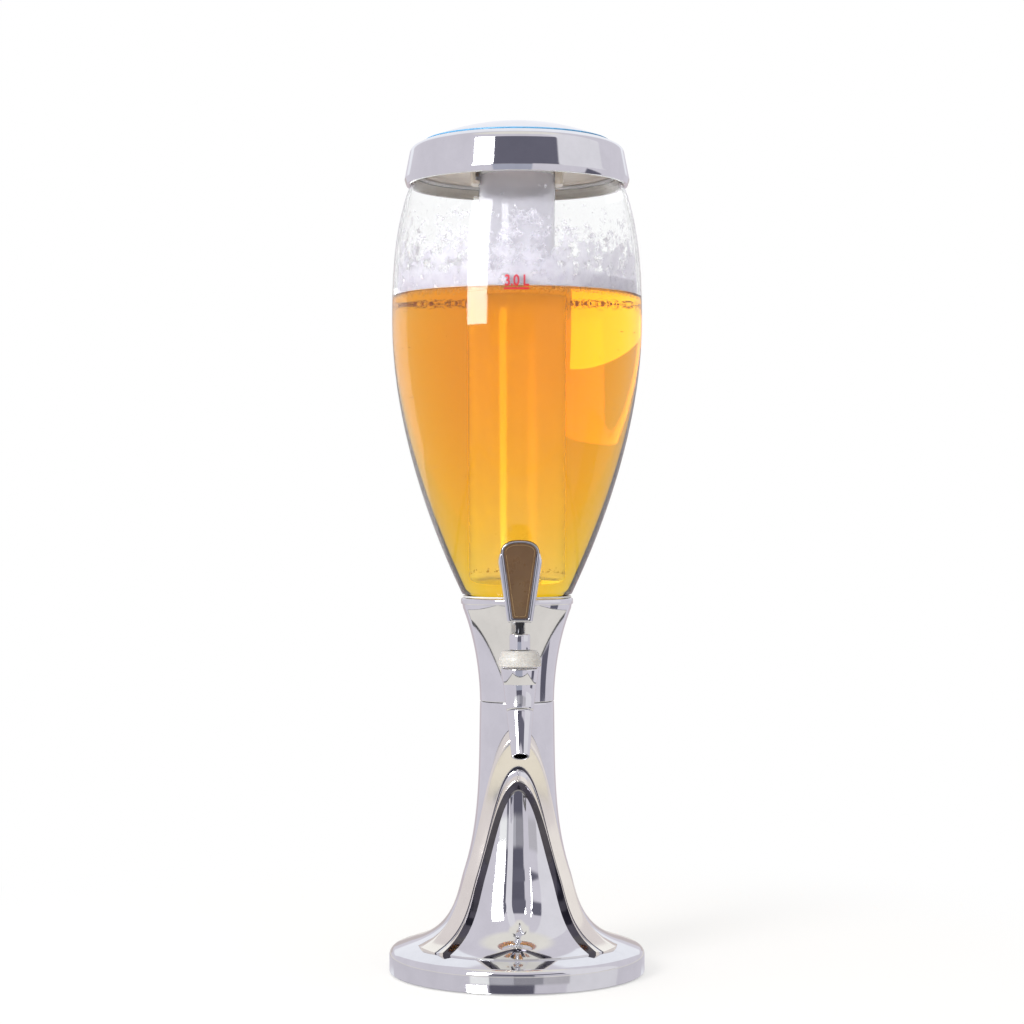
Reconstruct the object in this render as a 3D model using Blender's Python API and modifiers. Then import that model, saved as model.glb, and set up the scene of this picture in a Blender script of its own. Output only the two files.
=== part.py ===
"""Three-litre beer tower: pedestal, stem, clear vessel, ice tube, lid and tap.

Metres, +Z up. The origin is on the table under the middle of the foot, and the tap faces -Y.
Heights named ..._height are above the table. Radii are from the tower's axis unless the name says otherwise.
"""

import math

import bmesh
import bpy
import numpy as np
from mathutils import Matrix, Vector

# How neighbours meet
SEAT_GAP = 0.0003           # between two faces that touch
NEST_GAP = 0.0004           # all round, between a piece and the socket that it drops into
PIVOT_GAP = 0.0001          # all round a pin that turns
CUT_OVERRUN = 0.002         # how far a cutter passes the face that it opens
BITE = 0.001                # how deep a joined shape reaches into its carrier

# Pedestal. Leans are degrees off the vertical, positive where the radius grows upwards
FOOT_RADIUS = 0.0865
FOOT_EDGE_HEIGHT = 0.0153
FOOT_EDGE_ROUNDING = 0.005
DISC_WIDTH = 0.0144         # of the flat ring round the flare
DISC_RISE = 0.005           # of the disc's top from its edge to the flare
KNEE_RADIUS = 0.0360
KNEE_HEIGHT = 0.0684
STEM_RADIUS = 0.0251        # at the seam between pedestal and stem
PEDESTAL_HEIGHT = 0.183
PEDESTAL_WALL = 0.0025
PEDESTAL_TOP_LEAN = -1.5
KNEE_LEAN = -18.0
FLARE_FOOT_LEAN = -72.6

# Stepped arches on the pedestal's front: two raised layers with sloping edges.
# Each drop is from the pedestal's top.
ARCH_STEP = 0.0035
OUTER_ARCH_DROP = 0.014
OUTER_ARCH_HALF_ANGLE = 88.0
OUTER_CREST_DROP = 0.026
OUTER_CREST_HALF_ANGLE = 57.0
INNER_ARCH_DROP = 0.0415
INNER_ARCH_HALF_ANGLE = 50.0
INNER_CREST_DROP = 0.051
INNER_CREST_HALF_ANGLE = 43.0
ARCH_TOE_REACH = 0.0009     # past the foot of the flare
PANEL_TOE_REACH = 0.0018

# Long flute in the front panel
FLUTE_TOP_DROP = 0.054
FLUTE_END_HEIGHT = 0.0335
FLUTE_HALF_ANGLE = 11.5
FLUTE_DEPTH = 0.0045
FLUTE_TOP_FADE = 0.008      # length of the rounded upper end
FLUTE_END_FADE = 0.020      # length of the rounded lower end

# Under the foot
PAD_INSET = 0.0175
PAD_THICKNESS = 0.0017
COVER_THICKNESS = 0.0025
SHELL_CLEARANCE = 0.0008    # the chrome edge stays this far off the table
POST_INSET = 0.0105         # of the posts' circle from the foot's edge
POST_RADIUS = 0.0042
BALLAST_CLEARANCE = 0.0038  # between the ballast and the posts
BALLAST_BORE_RADIUS = 0.016
BALLAST_THICKNESS = 0.007
SCREW_RADIUS = 0.0011
SCREW_HEAD_RADIUS = 0.0026
SCREW_HEAD_THICKNESS = 0.0012
SCREW_LENGTH = 0.0075

# Bayonet between stem and pedestal
SOCKET_WALL = 0.0025
BAYONET_RING_WIDTH = 0.0035
BAYONET_RING_HEIGHT = 0.0140
SPIGOT_WALL = 0.0025
SPIGOT_LENGTH = 0.021
LUG_REACH = 0.0023
LUG_THICKNESS = 0.0052
LUG_HALF_ANGLE = 13.0
LUG_SLACK_ANGLE = 2.0
BAYONET_TURN = 30.0         # from locked to open
STOP_HALF_ANGLE = 2.0
STOP_SLACK_ANGLE = 1.0
SOCKET_LEDGE = 0.0015       # width of the ledge that the ring stands on

# Stem collar
COLLAR_LENGTH = 0.0697      # from the seam to the top of the lip
COLLAR_MOUTH_RADIUS = 0.0372
COLLAR_MOUTH_DROP = 0.0056
COLLAR_MOUTH_LEAN = 22.0
COLLAR_FOOT_LEAN = 0.7
COLLAR_WALL = 0.0025
COLLAR_FLOOR = 0.003
LIP_REACH = 0.0008          # of the lip past the flare's mouth
LIP_HEIGHT = 0.0042
LIP_ROUNDING = 0.0012

# Vessel. Each rise is from the place before it, the first from the collar's lip
VESSEL_WALL = 0.0025
VESSEL_FLOOR_GAP = 0.0032
VESSEL_SHOULDER_LIFT = 0.0011
VESSEL_SHOULDER_LEAN = 25.7
BELLY_RADIUS = 0.0847
BELLY_RISE = 0.1875
RIM_RADIUS = 0.0731
RIM_RISE = 0.0903
RIM_LEAN = -20.0
MOUTH_TAPER = 0.0026
MOUTH_RISE = 0.0077
NECK_FOOT_ROUNDING = 0.003
GASKET_WIDTH = 0.0020

# Lid. Each rise is from the place before it
LID_OVERLAP = 0.0063        # of the lid's edge below the vessel's mouth
LID_SIDE_CLEARANCE = 0.0006 # between the lid's edge and the vessel's rim
LID_SKIRT_RISE = 0.0068
LID_SKIRT_FLARE = 0.0004
LID_SHOULDER_RISE = 0.0182
LID_SHOULDER_INSET = 0.0041
LID_SHOULDER_ROUNDING = 0.0060
DOME_RISE = 0.0178
LID_WALL = 0.0022
LINER_THICKNESS = 0.0024
LINER_RIM_THICKNESS = 0.0022
LINER_RIM_HEIGHT = 0.0085
LINER_STEP = 0.0012
LINER_STEP_WIDTH = 0.006
SEAL_THICKNESS = 0.0019
SEAL_WIDTH = 0.0034

# Ice tube
TUBE_TOP_RADIUS = 0.0260
TUBE_TAPER = 0.0008
TUBE_END_LIFT = 0.0133      # of the tube's closed end above the vessel's shoulder
TUBE_WALL = 0.002
TUBE_END_ROUNDING = 0.005
TUBE_LUG_REACH = 0.0030
TUBE_LUG_THICKNESS = 0.0022
TUBE_LUG_DROP = 0.0012      # of the lug below the tube's top
TUBE_LUG_HALF_ANGLE = 14.0
HOOK_WALL = 0.0020
HOOK_SHELF = 0.0024
HOOK_SLACK_ANGLE = 2.0
HOOK_STOP_OFFSET_ANGLE = 0.5
HOOK_STOP_HALF_ANGLE = 1.5
TUBE_SEAL_THICKNESS = 0.0015

# Tap: barrel, arm and shank
TAP_REACH = 0.060           # of the barrel's axis in front of the tower's
SHANK_RISE = 0.0197         # of the shank's middle above the seam
ARM_RADIUS = 0.0059
BARREL_SHOULDER = 0.0003    # of the barrel's top above the arm
BARREL_DROP = 0.0046        # of the barrel's foot below the shank's middle
BARREL_TAPER = 0.0016
BARREL_STEP = 0.0026        # of the barrel's top past its thread
THREAD_RADIUS = 0.0100
THREAD_LENGTH = 0.0076
THREAD_WALL = 0.0020
SEAT_LIFT = 0.0006          # of the valve's seat above the barrel's foot
SEAT_WIDTH = 0.0015
FLANGE_RADIUS = 0.0115
FLANGE_THICKNESS = 0.003
GASKET_THICKNESS = 0.0034   # of the saddle washer at its thinnest
SHANK_RADIUS = 0.0055
SHANK_BORE_RADIUS = 0.0034
SHANK_TAIL = 0.0024         # of the shank past its nut
WASHER_RADIUS = 0.0085
WASHER_THICKNESS = 0.0035
NUT_RADIUS = 0.0093
NUT_THICKNESS = 0.0050

# Spout
SPOUT_STEP = 0.0002         # of the barrel past the spout
SPOUT_DROP = 0.0456
SPOUT_REACH = 0.016         # of the mouth in front of the barrel's axis
SPOUT_TOP_LEAN = 4.0
SPOUT_MOUTH_LEAN = 28.0
SPOUT_MOUTH_RADIUS = 0.0058
SPOUT_MOUTH_WALL = 0.0014
SPOUT_SEAM = 0.0006
SLEEVE_WALL = 0.0012
SLEEVE_LENGTH = 0.005

# Bonnet and valve
BONNET_WALL = 0.0036
BONNET_CLEARANCE = 0.0007   # between the thread's end and the roof
BONNET_ROOF = 0.0030
BONNET_TOP_INSET = 0.0025
BONNET_ROUNDING = 0.0026
ROD_RADIUS = 0.0022
PLUG_CLEARANCE = 0.0017     # between the plug and the chamber's wall
PLUG_THICKNESS = 0.004
SPRING_WIRE_RADIUS = 0.0004
SPRING_RADIUS = 0.0046
SPRING_SEAT_MARGIN = 0.0005
SPRING_SEAT_THICKNESS = 0.001
SPRING_TURNS = 5

# Lever
HUB_RADIUS = 0.00675
HUB_ROOF = 0.0027           # above the rod's pocket
HUB_POCKET_WALL = 0.00105
PIVOT_LIFT = 0.005          # of the pivot above the hub's foot
PIN_RADIUS = 0.0009
STUD_RADIUS = 0.0031
STUD_TIP_RADIUS = 0.0018
STUD_TIP_LENGTH = 0.0020
STUD_NECK_LENGTH = 0.0073
STUD_SOCKET_DEPTH = 0.009
HANDLE_LEAN = 3.0
HANDLE_LENGTH = 0.0539
HANDLE_WALL = 0.0012        # round the stud's socket
HANDLE_END_HALF_WIDTH = 0.0082
HANDLE_HALF_WIDTH = 0.0143
HANDLE_WIDEST_DROP = 0.0134
HANDLE_SHOULDER_DROP = 0.0075
HANDLE_SHOULDER_INSET = 0.0015
HANDLE_CORNER_ROUNDING = 0.0022
HANDLE_WAIST_ROUNDING = 0.011
HANDLE_EDGE_ROUNDING = 0.0011
FRAME_END_INSET = 0.0016
FRAME_INSET = 0.0024
FRAME_WIDEST_DROP = 0.0075
FRAME_RISE = 0.0016
FRAME_EDGE = 0.0013
PLATE_THICKNESS = 0.0010
RECESS_DEPTH = 0.0016

# Smoothness of the outlines and of the revolved pieces
MERGE_DISTANCE = 0.00001
THIRD_SHARE = 1 / 3
FLARE_FOOT_PULL_SHARE = 0.66
MITRE_SHARE = 0.5           # the least that a mitre's depth is divided by
SPOUT_SEAM_SHARE = 0.38     # of the spout's length above the seam
BORE_OVERRUN_SHARE = 1.1
PLATE_CROWN_SHARE = 0.8     # below one, the plate's arched top is fuller than an ellipse
OUTER_EDGE_ANGLE = 89.0     # the outermost column of an arch, 90 being the table
ARCH_ROW_SHARES = (0.0, 0.03, 0.07, 0.12, 0.18, 0.25, 0.35, 0.5, 0.68, 0.84, 0.93, 0.97, 1.0)
PANEL_COLUMN_SHARES = (0.0, 0.09, 0.17, 0.23, 0.265, 0.42, 0.62, 0.8, 0.94, 0.9998)
OUTER_COLUMNS = 20
LEDGE_STEPS = 4
FLARE_STEPS = 60
ROUND_SIDES = 32
TUBE_SIDES = 24
TAP_SIDES = 20
SMALL_SIDES = 12
SPRING_SIDES_PER_TURN = 10
SCREW_COUNT = 4
LUG_COUNT = 3

# Sizes that follow from the ones above
stem_floor_height = PEDESTAL_HEIGHT + SEAT_GAP
flare_foot_radius = FOOT_RADIUS - DISC_WIDTH
flare_foot_height = FOOT_EDGE_HEIGHT + DISC_RISE
cover_bottom_height = PAD_THICKNESS + SEAT_GAP
cover_top_height = cover_bottom_height + COVER_THICKNESS
post_circle_radius = FOOT_RADIUS - POST_INSET
ring_bottom_height = stem_floor_height - SPIGOT_LENGTH + LUG_THICKNESS + SEAT_GAP
socket_radius = STEM_RADIUS - SOCKET_WALL
socket_core_radius = socket_radius - SOCKET_LEDGE
ring_bore_radius = socket_radius - SEAT_GAP - BAYONET_RING_WIDTH
spigot_radius = ring_bore_radius - NEST_GAP
lug_radius = spigot_radius + LUG_REACH
collar_height = stem_floor_height + COLLAR_LENGTH
collar_bore_radius = COLLAR_MOUTH_RADIUS - COLLAR_WALL
lip_radius = COLLAR_MOUTH_RADIUS + LIP_REACH
vessel_neck_radius = collar_bore_radius - NEST_GAP
vessel_floor_height = stem_floor_height + COLLAR_FLOOR + VESSEL_FLOOR_GAP
vessel_shoulder_height = collar_height + 2 * SEAT_GAP + VESSEL_SHOULDER_LIFT
belly_height = collar_height + BELLY_RISE
rim_height = belly_height + RIM_RISE
mouth_height = rim_height + MOUTH_RISE
mouth_radius = RIM_RADIUS - MOUTH_TAPER
lid_edge_height = mouth_height - LID_OVERLAP
lid_edge_radius = RIM_RADIUS + LID_SIDE_CLEARANCE + LID_WALL
lid_skirt_height = lid_edge_height + LID_SKIRT_RISE
lid_skirt_radius = lid_edge_radius + LID_SKIRT_FLARE
lid_shoulder_height = lid_skirt_height + LID_SHOULDER_RISE
lid_shoulder_radius = lid_skirt_radius - LID_SHOULDER_INSET
lid_height = lid_shoulder_height + DOME_RISE
liner_height = mouth_height + SEAL_THICKNESS + 2 * SEAT_GAP
tube_top_height = liner_height - TUBE_SEAL_THICKNESS - 2 * SEAT_GAP
tube_end_height = vessel_shoulder_height + TUBE_END_LIFT
tube_end_radius = TUBE_TOP_RADIUS - TUBE_TAPER
tube_lug_top = tube_top_height - TUBE_LUG_DROP
tube_lug_radius = TUBE_TOP_RADIUS + TUBE_LUG_REACH
shank_height = stem_floor_height + SHANK_RISE
barrel_top_height = shank_height + ARM_RADIUS + BARREL_SHOULDER
barrel_foot_height = shank_height - BARREL_DROP
barrel_top_radius = THREAD_RADIUS + BARREL_STEP
barrel_foot_radius = barrel_top_radius - BARREL_TAPER
thread_height = barrel_top_height + THREAD_LENGTH
chamber_radius = THREAD_RADIUS - THREAD_WALL
plug_radius = chamber_radius - PLUG_CLEARANCE
throat_radius = plug_radius - SEAT_WIDTH
seat_height = barrel_foot_height + SEAT_LIFT
spout_top_radius = barrel_foot_radius - SPOUT_STEP
spout_mouth_height = barrel_foot_height - SPOUT_DROP
spout_bore_radius = SPOUT_MOUTH_RADIUS - SPOUT_MOUTH_WALL
bonnet_socket_radius = THREAD_RADIUS + NEST_GAP
bonnet_radius = bonnet_socket_radius + BONNET_WALL
bonnet_bottom_height = barrel_top_height + 3 * SEAT_GAP
bonnet_roof_height = thread_height + BONNET_CLEARANCE
bonnet_top_height = bonnet_roof_height + BONNET_ROOF
hub_foot_height = bonnet_top_height + SEAT_GAP
pivot_height = hub_foot_height + PIVOT_LIFT
hub_pocket_top = pivot_height + ROD_RADIUS + 2 * SEAT_GAP
hub_top_height = hub_pocket_top + HUB_ROOF
stud_foot_height = hub_top_height + SEAT_GAP
handle_foot_height = stud_foot_height + STUD_NECK_LENGTH
handle_thickness = 2 * (STUD_RADIUS + NEST_GAP + HANDLE_WALL)
plug_bottom_height = seat_height + SEAT_GAP
plug_top_height = plug_bottom_height + PLUG_THICKNESS
spring_seat_height = plug_top_height + SEAT_GAP
spring_seat_radius = SPRING_RADIUS + SPRING_WIRE_RADIUS + SPRING_SEAT_MARGIN
spring_foot_height = spring_seat_height + SPRING_SEAT_THICKNESS + SEAT_GAP

assembly = None
tool_shapes = None


def clear_scene():
    for obj in list(bpy.data.objects):
        bpy.data.objects.remove(obj, do_unlink=True)


def add_collection(name):
    collection = bpy.data.collections.new(name)
    bpy.context.scene.collection.children.link(collection)
    return collection


def make_material(name, color, roughness, metallic=0.0, transmission=0.0):
    material = bpy.data.materials.new(name)
    material.use_nodes = True
    shader = material.node_tree.nodes["Principled BSDF"]
    shader.inputs["Base Color"].default_value = (*color, 1.0)
    shader.inputs["Roughness"].default_value = roughness
    shader.inputs["Metallic"].default_value = metallic
    shader.inputs["Transmission Weight"].default_value = transmission
    material.diffuse_color = (*color, 1.0)
    return material


def link_piece(name, mesh, material):
    """A sub-part that is kept."""
    obj = bpy.data.objects.new(name, mesh)
    obj.data.materials.append(material)
    assembly.objects.link(obj)
    return obj


def link_tool(name, mesh):
    """A shape that is only cut away from a piece or joined to it."""
    obj = bpy.data.objects.new(name, mesh)
    obj.hide_render = True
    obj.display_type = "WIRE"
    tool_shapes.objects.link(obj)
    return obj


def finish_mesh(mesh):
    mesh.shade_smooth()
    mesh.set_sharp_from_angle(angle=math.radians(30))
    return mesh


def mesh_from(bm, name):
    mesh = bpy.data.meshes.new(name)
    bmesh.ops.recalc_face_normals(bm, faces=bm.faces)
    bm.to_mesh(mesh)
    bm.free()
    return finish_mesh(mesh)


def combine(obj, other, operation, solver="EXACT"):
    modifier = obj.modifiers.new(operation.lower() + "_" + other.name, "BOOLEAN")
    modifier.operation = operation
    modifier.solver = solver
    modifier.object = other
    return modifier


def join(obj, other):
    return combine(obj, other, "UNION")


def cut(obj, other, solver="EXACT"):
    return combine(obj, other, "DIFFERENCE", solver)


# Outlines: lists of (radius, height)


def curve_between(start, start_lean, end, end_lean, count, start_pull=THIRD_SHARE, end_pull=THIRD_SHARE):
    """Points of one smooth curve between two places with the outline's lean at each."""
    rise = end[1] - start[1]
    first = np.array(start)
    last = np.array(end)
    start_angle = math.radians(start_lean)
    end_angle = math.radians(end_lean)
    near = first + start_pull * rise * np.array((math.sin(start_angle), math.cos(start_angle)))
    far = last - end_pull * rise * np.array((math.sin(end_angle), math.cos(end_angle)))
    points = []
    for step in range(count + 1):
        t = step / count
        point = (1 - t) ** 3 * first + 3 * (1 - t) ** 2 * t * near + 3 * (1 - t) * t * t * far + t ** 3 * last
        points.append((float(point[0]), float(point[1])))
    return points


def rounded_corner(before, corner, after, radius, count=3):
    """Points of an arc that rounds a corner."""
    middle = Vector(corner)
    arm_in = (Vector(before) - middle).normalized()
    arm_out = (Vector(after) - middle).normalized()
    half = arm_in.angle(arm_out) / 2
    setback = radius / math.tan(half)
    centre = middle + (arm_in + arm_out).normalized() * (radius / math.sin(half))
    start = middle + arm_in * setback - centre
    end = middle + arm_out * setback - centre
    sweep = start.angle_signed(end)
    points = []
    for step in range(count + 1):
        spoke = start.copy()
        spoke.rotate(Matrix.Rotation(-sweep * step / count, 2))
        points.append(tuple(centre + spoke))
    return points


def inset(points, wall):
    """The same outline moved inwards by the wall, for an outline that runs down its outer side."""
    moved = []
    for index, point in enumerate(points):
        before = Vector(points[max(index - 1, 0)])
        after = Vector(points[min(index + 1, len(points) - 1)])
        here = Vector(point)
        arms = [arm.normalized() for arm in (here - before, after - here) if arm.length > 0]
        normals = [Vector((arm.y, -arm.x)) for arm in arms]
        middle = sum(normals, Vector((0.0, 0.0))).normalized()
        depth = wall / max(middle.dot(normals[0]), MITRE_SHARE)
        moved.append(tuple(here + middle * depth))
    return moved


def radius_at(points, height):
    ordered = sorted((point[1], point[0]) for point in points)
    return float(np.interp(height, [p[0] for p in ordered], [p[1] for p in ordered]))


def height_at(points, radius):
    ordered = sorted(points)
    return float(np.interp(radius, [p[0] for p in ordered], [p[1] for p in ordered]))


# Shapes


def turned_mesh(name, outline, closed=True):
    """An outline for a Screw modifier to turn. A closed one stays off the axis, an open one ends on it."""
    mesh = bpy.data.meshes.new(name)
    vertices = [(radius, 0.0, height) for radius, height in outline]
    edges = [(index, index + 1) for index in range(len(outline) - 1)]
    if closed:
        edges.append((len(outline) - 1, 0))
    mesh.from_pydata(vertices, edges, [])
    return mesh


def turn(obj, sides):
    modifier = obj.modifiers.new("turn", "SCREW")
    modifier.axis = "Z"
    modifier.angle = math.tau
    modifier.steps = sides
    modifier.render_steps = sides
    modifier.use_merge_vertices = True
    modifier.merge_threshold = MERGE_DISTANCE
    modifier.use_smooth_shade = True
    return obj


def turned_piece(name, outline, material, sides, closed=True):
    return turn(link_piece(name, turned_mesh(name, outline, closed), material), sides)


def turned_tool(name, outline, sides, closed=True):
    return turn(link_tool(name, turned_mesh(name, outline, closed)), sides)


def ring_outline(inner, outer, bottom, top):
    return [(outer, top), (outer, bottom), (inner, bottom), (inner, top)]


def disc_outline(radius, bottom, top):
    return [(0.0, top), (radius, top), (radius, bottom), (0.0, bottom)]


def cylinder_mesh(name, radius, start, end, sides):
    """A closed cylinder between two points."""
    axis = Vector(end) - Vector(start)
    bm = bmesh.new()
    bmesh.ops.create_cone(
        bm, cap_ends=True, segments=sides, radius1=radius, radius2=radius, depth=axis.length
    )
    turn_to_axis = axis.to_track_quat("Z", "Y").to_matrix().to_4x4()
    bmesh.ops.transform(
        bm, matrix=Matrix.Translation((Vector(start) + Vector(end)) / 2) @ turn_to_axis, verts=bm.verts
    )
    return mesh_from(bm, name)


def arc_blocks(name, angles, section, half_angle, steps=4):
    """Blocks bent round the tower's axis, each spun from its end face. Angles are in degrees from +X."""
    bm = bmesh.new()
    for angle in angles:
        start = math.radians(angle - half_angle)
        ring = [bm.verts.new((r * math.cos(start), r * math.sin(start), z)) for r, z in section]
        face = bm.faces.new(ring)
        bmesh.ops.spin(
            bm,
            geom=ring + list(face.edges) + [face],
            cent=(0, 0, 0),
            axis=(0, 0, 1),
            angle=math.radians(2 * half_angle),
            steps=steps,
        )
    return link_tool(name, mesh_from(bm, name))


def mesh_of_curve(curve_object, name):
    """A closed mesh of a curve object, with its caps welded, in the curve's own place."""
    bpy.context.view_layer.update()
    graph = bpy.context.evaluated_depsgraph_get()
    mesh = bpy.data.meshes.new_from_object(curve_object.evaluated_get(graph))
    bm = bmesh.new()
    bm.from_mesh(mesh)
    bm.transform(curve_object.matrix_world)
    bmesh.ops.remove_doubles(bm, verts=bm.verts, dist=MERGE_DISTANCE / 10)
    curve = curve_object.data
    bpy.data.objects.remove(curve_object)
    bpy.data.curves.remove(curve)
    bpy.data.meshes.remove(mesh)
    return mesh_from(bm, name)


def swept_mesh(name, points, radii, resolution):
    """A round bar along the points, with its own radius at each."""
    curve = bpy.data.curves.new(name, "CURVE")
    curve.dimensions = "3D"
    curve.bevel_depth = radii[0]
    curve.bevel_resolution = resolution
    curve.use_fill_caps = True
    spline = curve.splines.new("POLY")
    spline.points.add(len(points) - 1)
    for knot, point, radius in zip(spline.points, points, radii):
        knot.co = (*point, 1.0)
        knot.radius = radius / radii[0]
    obj = bpy.data.objects.new(name, curve)
    tool_shapes.objects.link(obj)
    return mesh_of_curve(obj, name)


def flat_mesh(name, outline, front, back):
    """An upright plate: an outline of (x, z) points between two depths along Y."""
    curve = bpy.data.curves.new(name, "CURVE")
    curve.dimensions = "2D"
    curve.fill_mode = "BOTH"
    curve.extrude = abs(back - front) / 2
    spline = curve.splines.new("POLY")
    spline.points.add(len(outline) - 1)
    for knot, point in zip(spline.points, outline):
        knot.co = (point[0], point[1], 0.0, 1.0)
    spline.use_cyclic_u = True
    obj = bpy.data.objects.new(name, curve)
    tool_shapes.objects.link(obj)
    obj.rotation_euler = (math.pi / 2, 0, 0)
    obj.location = (0, (front + back) / 2, 0)
    return mesh_of_curve(obj, name)


def even_steps(start, end, count):
    return [start + (end - start) * step / count for step in range(count + 1)]


# Pedestal


def flare_outline(count):
    """The pedestal's flare, from the seam down to the disc."""
    knee = (KNEE_RADIUS, KNEE_HEIGHT)
    foot = (flare_foot_radius, flare_foot_height)
    upper = curve_between((STEM_RADIUS, PEDESTAL_HEIGHT), PEDESTAL_TOP_LEAN, knee, KNEE_LEAN, count)
    lower = curve_between(knee, KNEE_LEAN, foot, FLARE_FOOT_LEAN, count, end_pull=FLARE_FOOT_PULL_SHARE)
    return upper + lower[1:]


def foot_outline():
    """The disc's top and edge, from the foot of the flare outwards and down."""
    corner = (FOOT_RADIUS, FOOT_EDGE_HEIGHT)
    arc = rounded_corner(
        (flare_foot_radius, flare_foot_height), corner, (FOOT_RADIUS, 0.0), FOOT_EDGE_ROUNDING, 4
    )
    return arc + [(FOOT_RADIUS, SHELL_CLEARANCE)]


def flute_sink(angle, height):
    """How deep the long flute is sunk into the front panel here."""
    across = angle / math.radians(FLUTE_HALF_ANGLE)
    from_top = 1 - (PEDESTAL_HEIGHT - FLUTE_TOP_DROP - height) / FLUTE_TOP_FADE
    from_end = 1 - (height - FLUTE_END_HEIGHT) / FLUTE_END_FADE
    along = max(from_top, from_end, 0.0)
    return FLUTE_DEPTH * max(1 - across ** 2 - along ** 2, 0.0)


def no_sink(angle, height):
    return 0.0


def arch_layer(name, under_step, crest_step, foot_arch, crest_arch, toe_reach, angle_shares, sink):
    """One raised layer of the front, lofted from its face over its sloping edge to a face inside the carrier.

    An arch is (drop from the pedestal's top, half angle), and is a half ellipse wrapped on the flare.
    """
    flare = flare_outline(FLARE_STEPS)
    toe_radius = flare_foot_radius + toe_reach
    toe_height = height_at(flare[FLARE_STEPS:], toe_radius - crest_step)
    sunk_share = 1 + BITE / (crest_step - under_step)
    columns = len(angle_shares) - 1
    rows = len(ARCH_ROW_SHARES)

    def spot(column, row, share):
        crown_height = PEDESTAL_HEIGHT - crest_arch[0] + (crest_arch[0] - foot_arch[0]) * share * sunk_share
        half_angle = crest_arch[1] + (foot_arch[1] - crest_arch[1]) * share * sunk_share
        angle = math.radians(half_angle) * angle_shares[column]
        span = (crown_height - toe_height) * math.sqrt(1 - angle_shares[column] ** 2)
        height = toe_height + span * ARCH_ROW_SHARES[max(row - 1, 0)]
        step = crest_step - (crest_step - under_step + BITE) * share
        radius = min(radius_at(flare, height) + step, toe_radius - crest_step + step)
        if share == 0:
            radius -= sink(angle, height)
        if row == 0:
            height = FOOT_EDGE_HEIGHT
        return (radius * math.sin(angle), -radius * math.cos(angle), height)

    bm = bmesh.new()
    grids = []
    for ledge in range(LEDGE_STEPS + 1):
        border_only = 0 < ledge < LEDGE_STEPS
        grid = {}
        for column in range(columns + 1):
            for row in range(rows + 1):
                if border_only and 0 < column < columns and row < rows:
                    continue
                grid[column, row] = bm.verts.new(spot(column, row, ledge / LEDGE_STEPS))
        grids.append(grid)
    for face_grid in (grids[0], grids[-1]):
        for column in range(columns):
            for row in range(rows):
                corners = ((column, row), (column + 1, row), (column + 1, row + 1), (column, row + 1))
                bm.faces.new([face_grid[corner] for corner in corners])
    border = [(0, row) for row in range(rows)] + [(column, rows) for column in range(columns)]
    border += [(columns, row) for row in range(rows, -1, -1)]
    for near, far in zip(grids, grids[1:]):
        for here, ahead in zip(border, border[1:]):
            bm.faces.new((near[here], near[ahead], far[ahead], far[here]))
    underside = [grids[0][column, 0] for column in range(columns + 1)]
    underside += [grid[columns, 0] for grid in grids[1:-1]]
    underside += [grids[-1][column, 0] for column in range(columns, -1, -1)]
    underside += [grid[0, 0] for grid in grids[-2:0:-1]]
    bm.faces.new(underside)
    return link_tool(name, mesh_from(bm, name))


def post_places():
    for index in range(SCREW_COUNT):
        angle = math.tau * (index + 0.5) / SCREW_COUNT
        yield post_circle_radius * math.cos(angle), post_circle_radius * math.sin(angle)


def upright_cylinders(name, radius, bottom, top, sides=SMALL_SIDES):
    bm = bmesh.new()
    for x, y in post_places():
        bmesh.ops.create_cone(
            bm,
            cap_ends=True,
            segments=sides,
            radius1=radius,
            radius2=radius,
            depth=top - bottom,
            matrix=Matrix.Translation((x, y, (bottom + top) / 2)),
        )
    return link_tool(name, mesh_from(bm, name))


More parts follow.
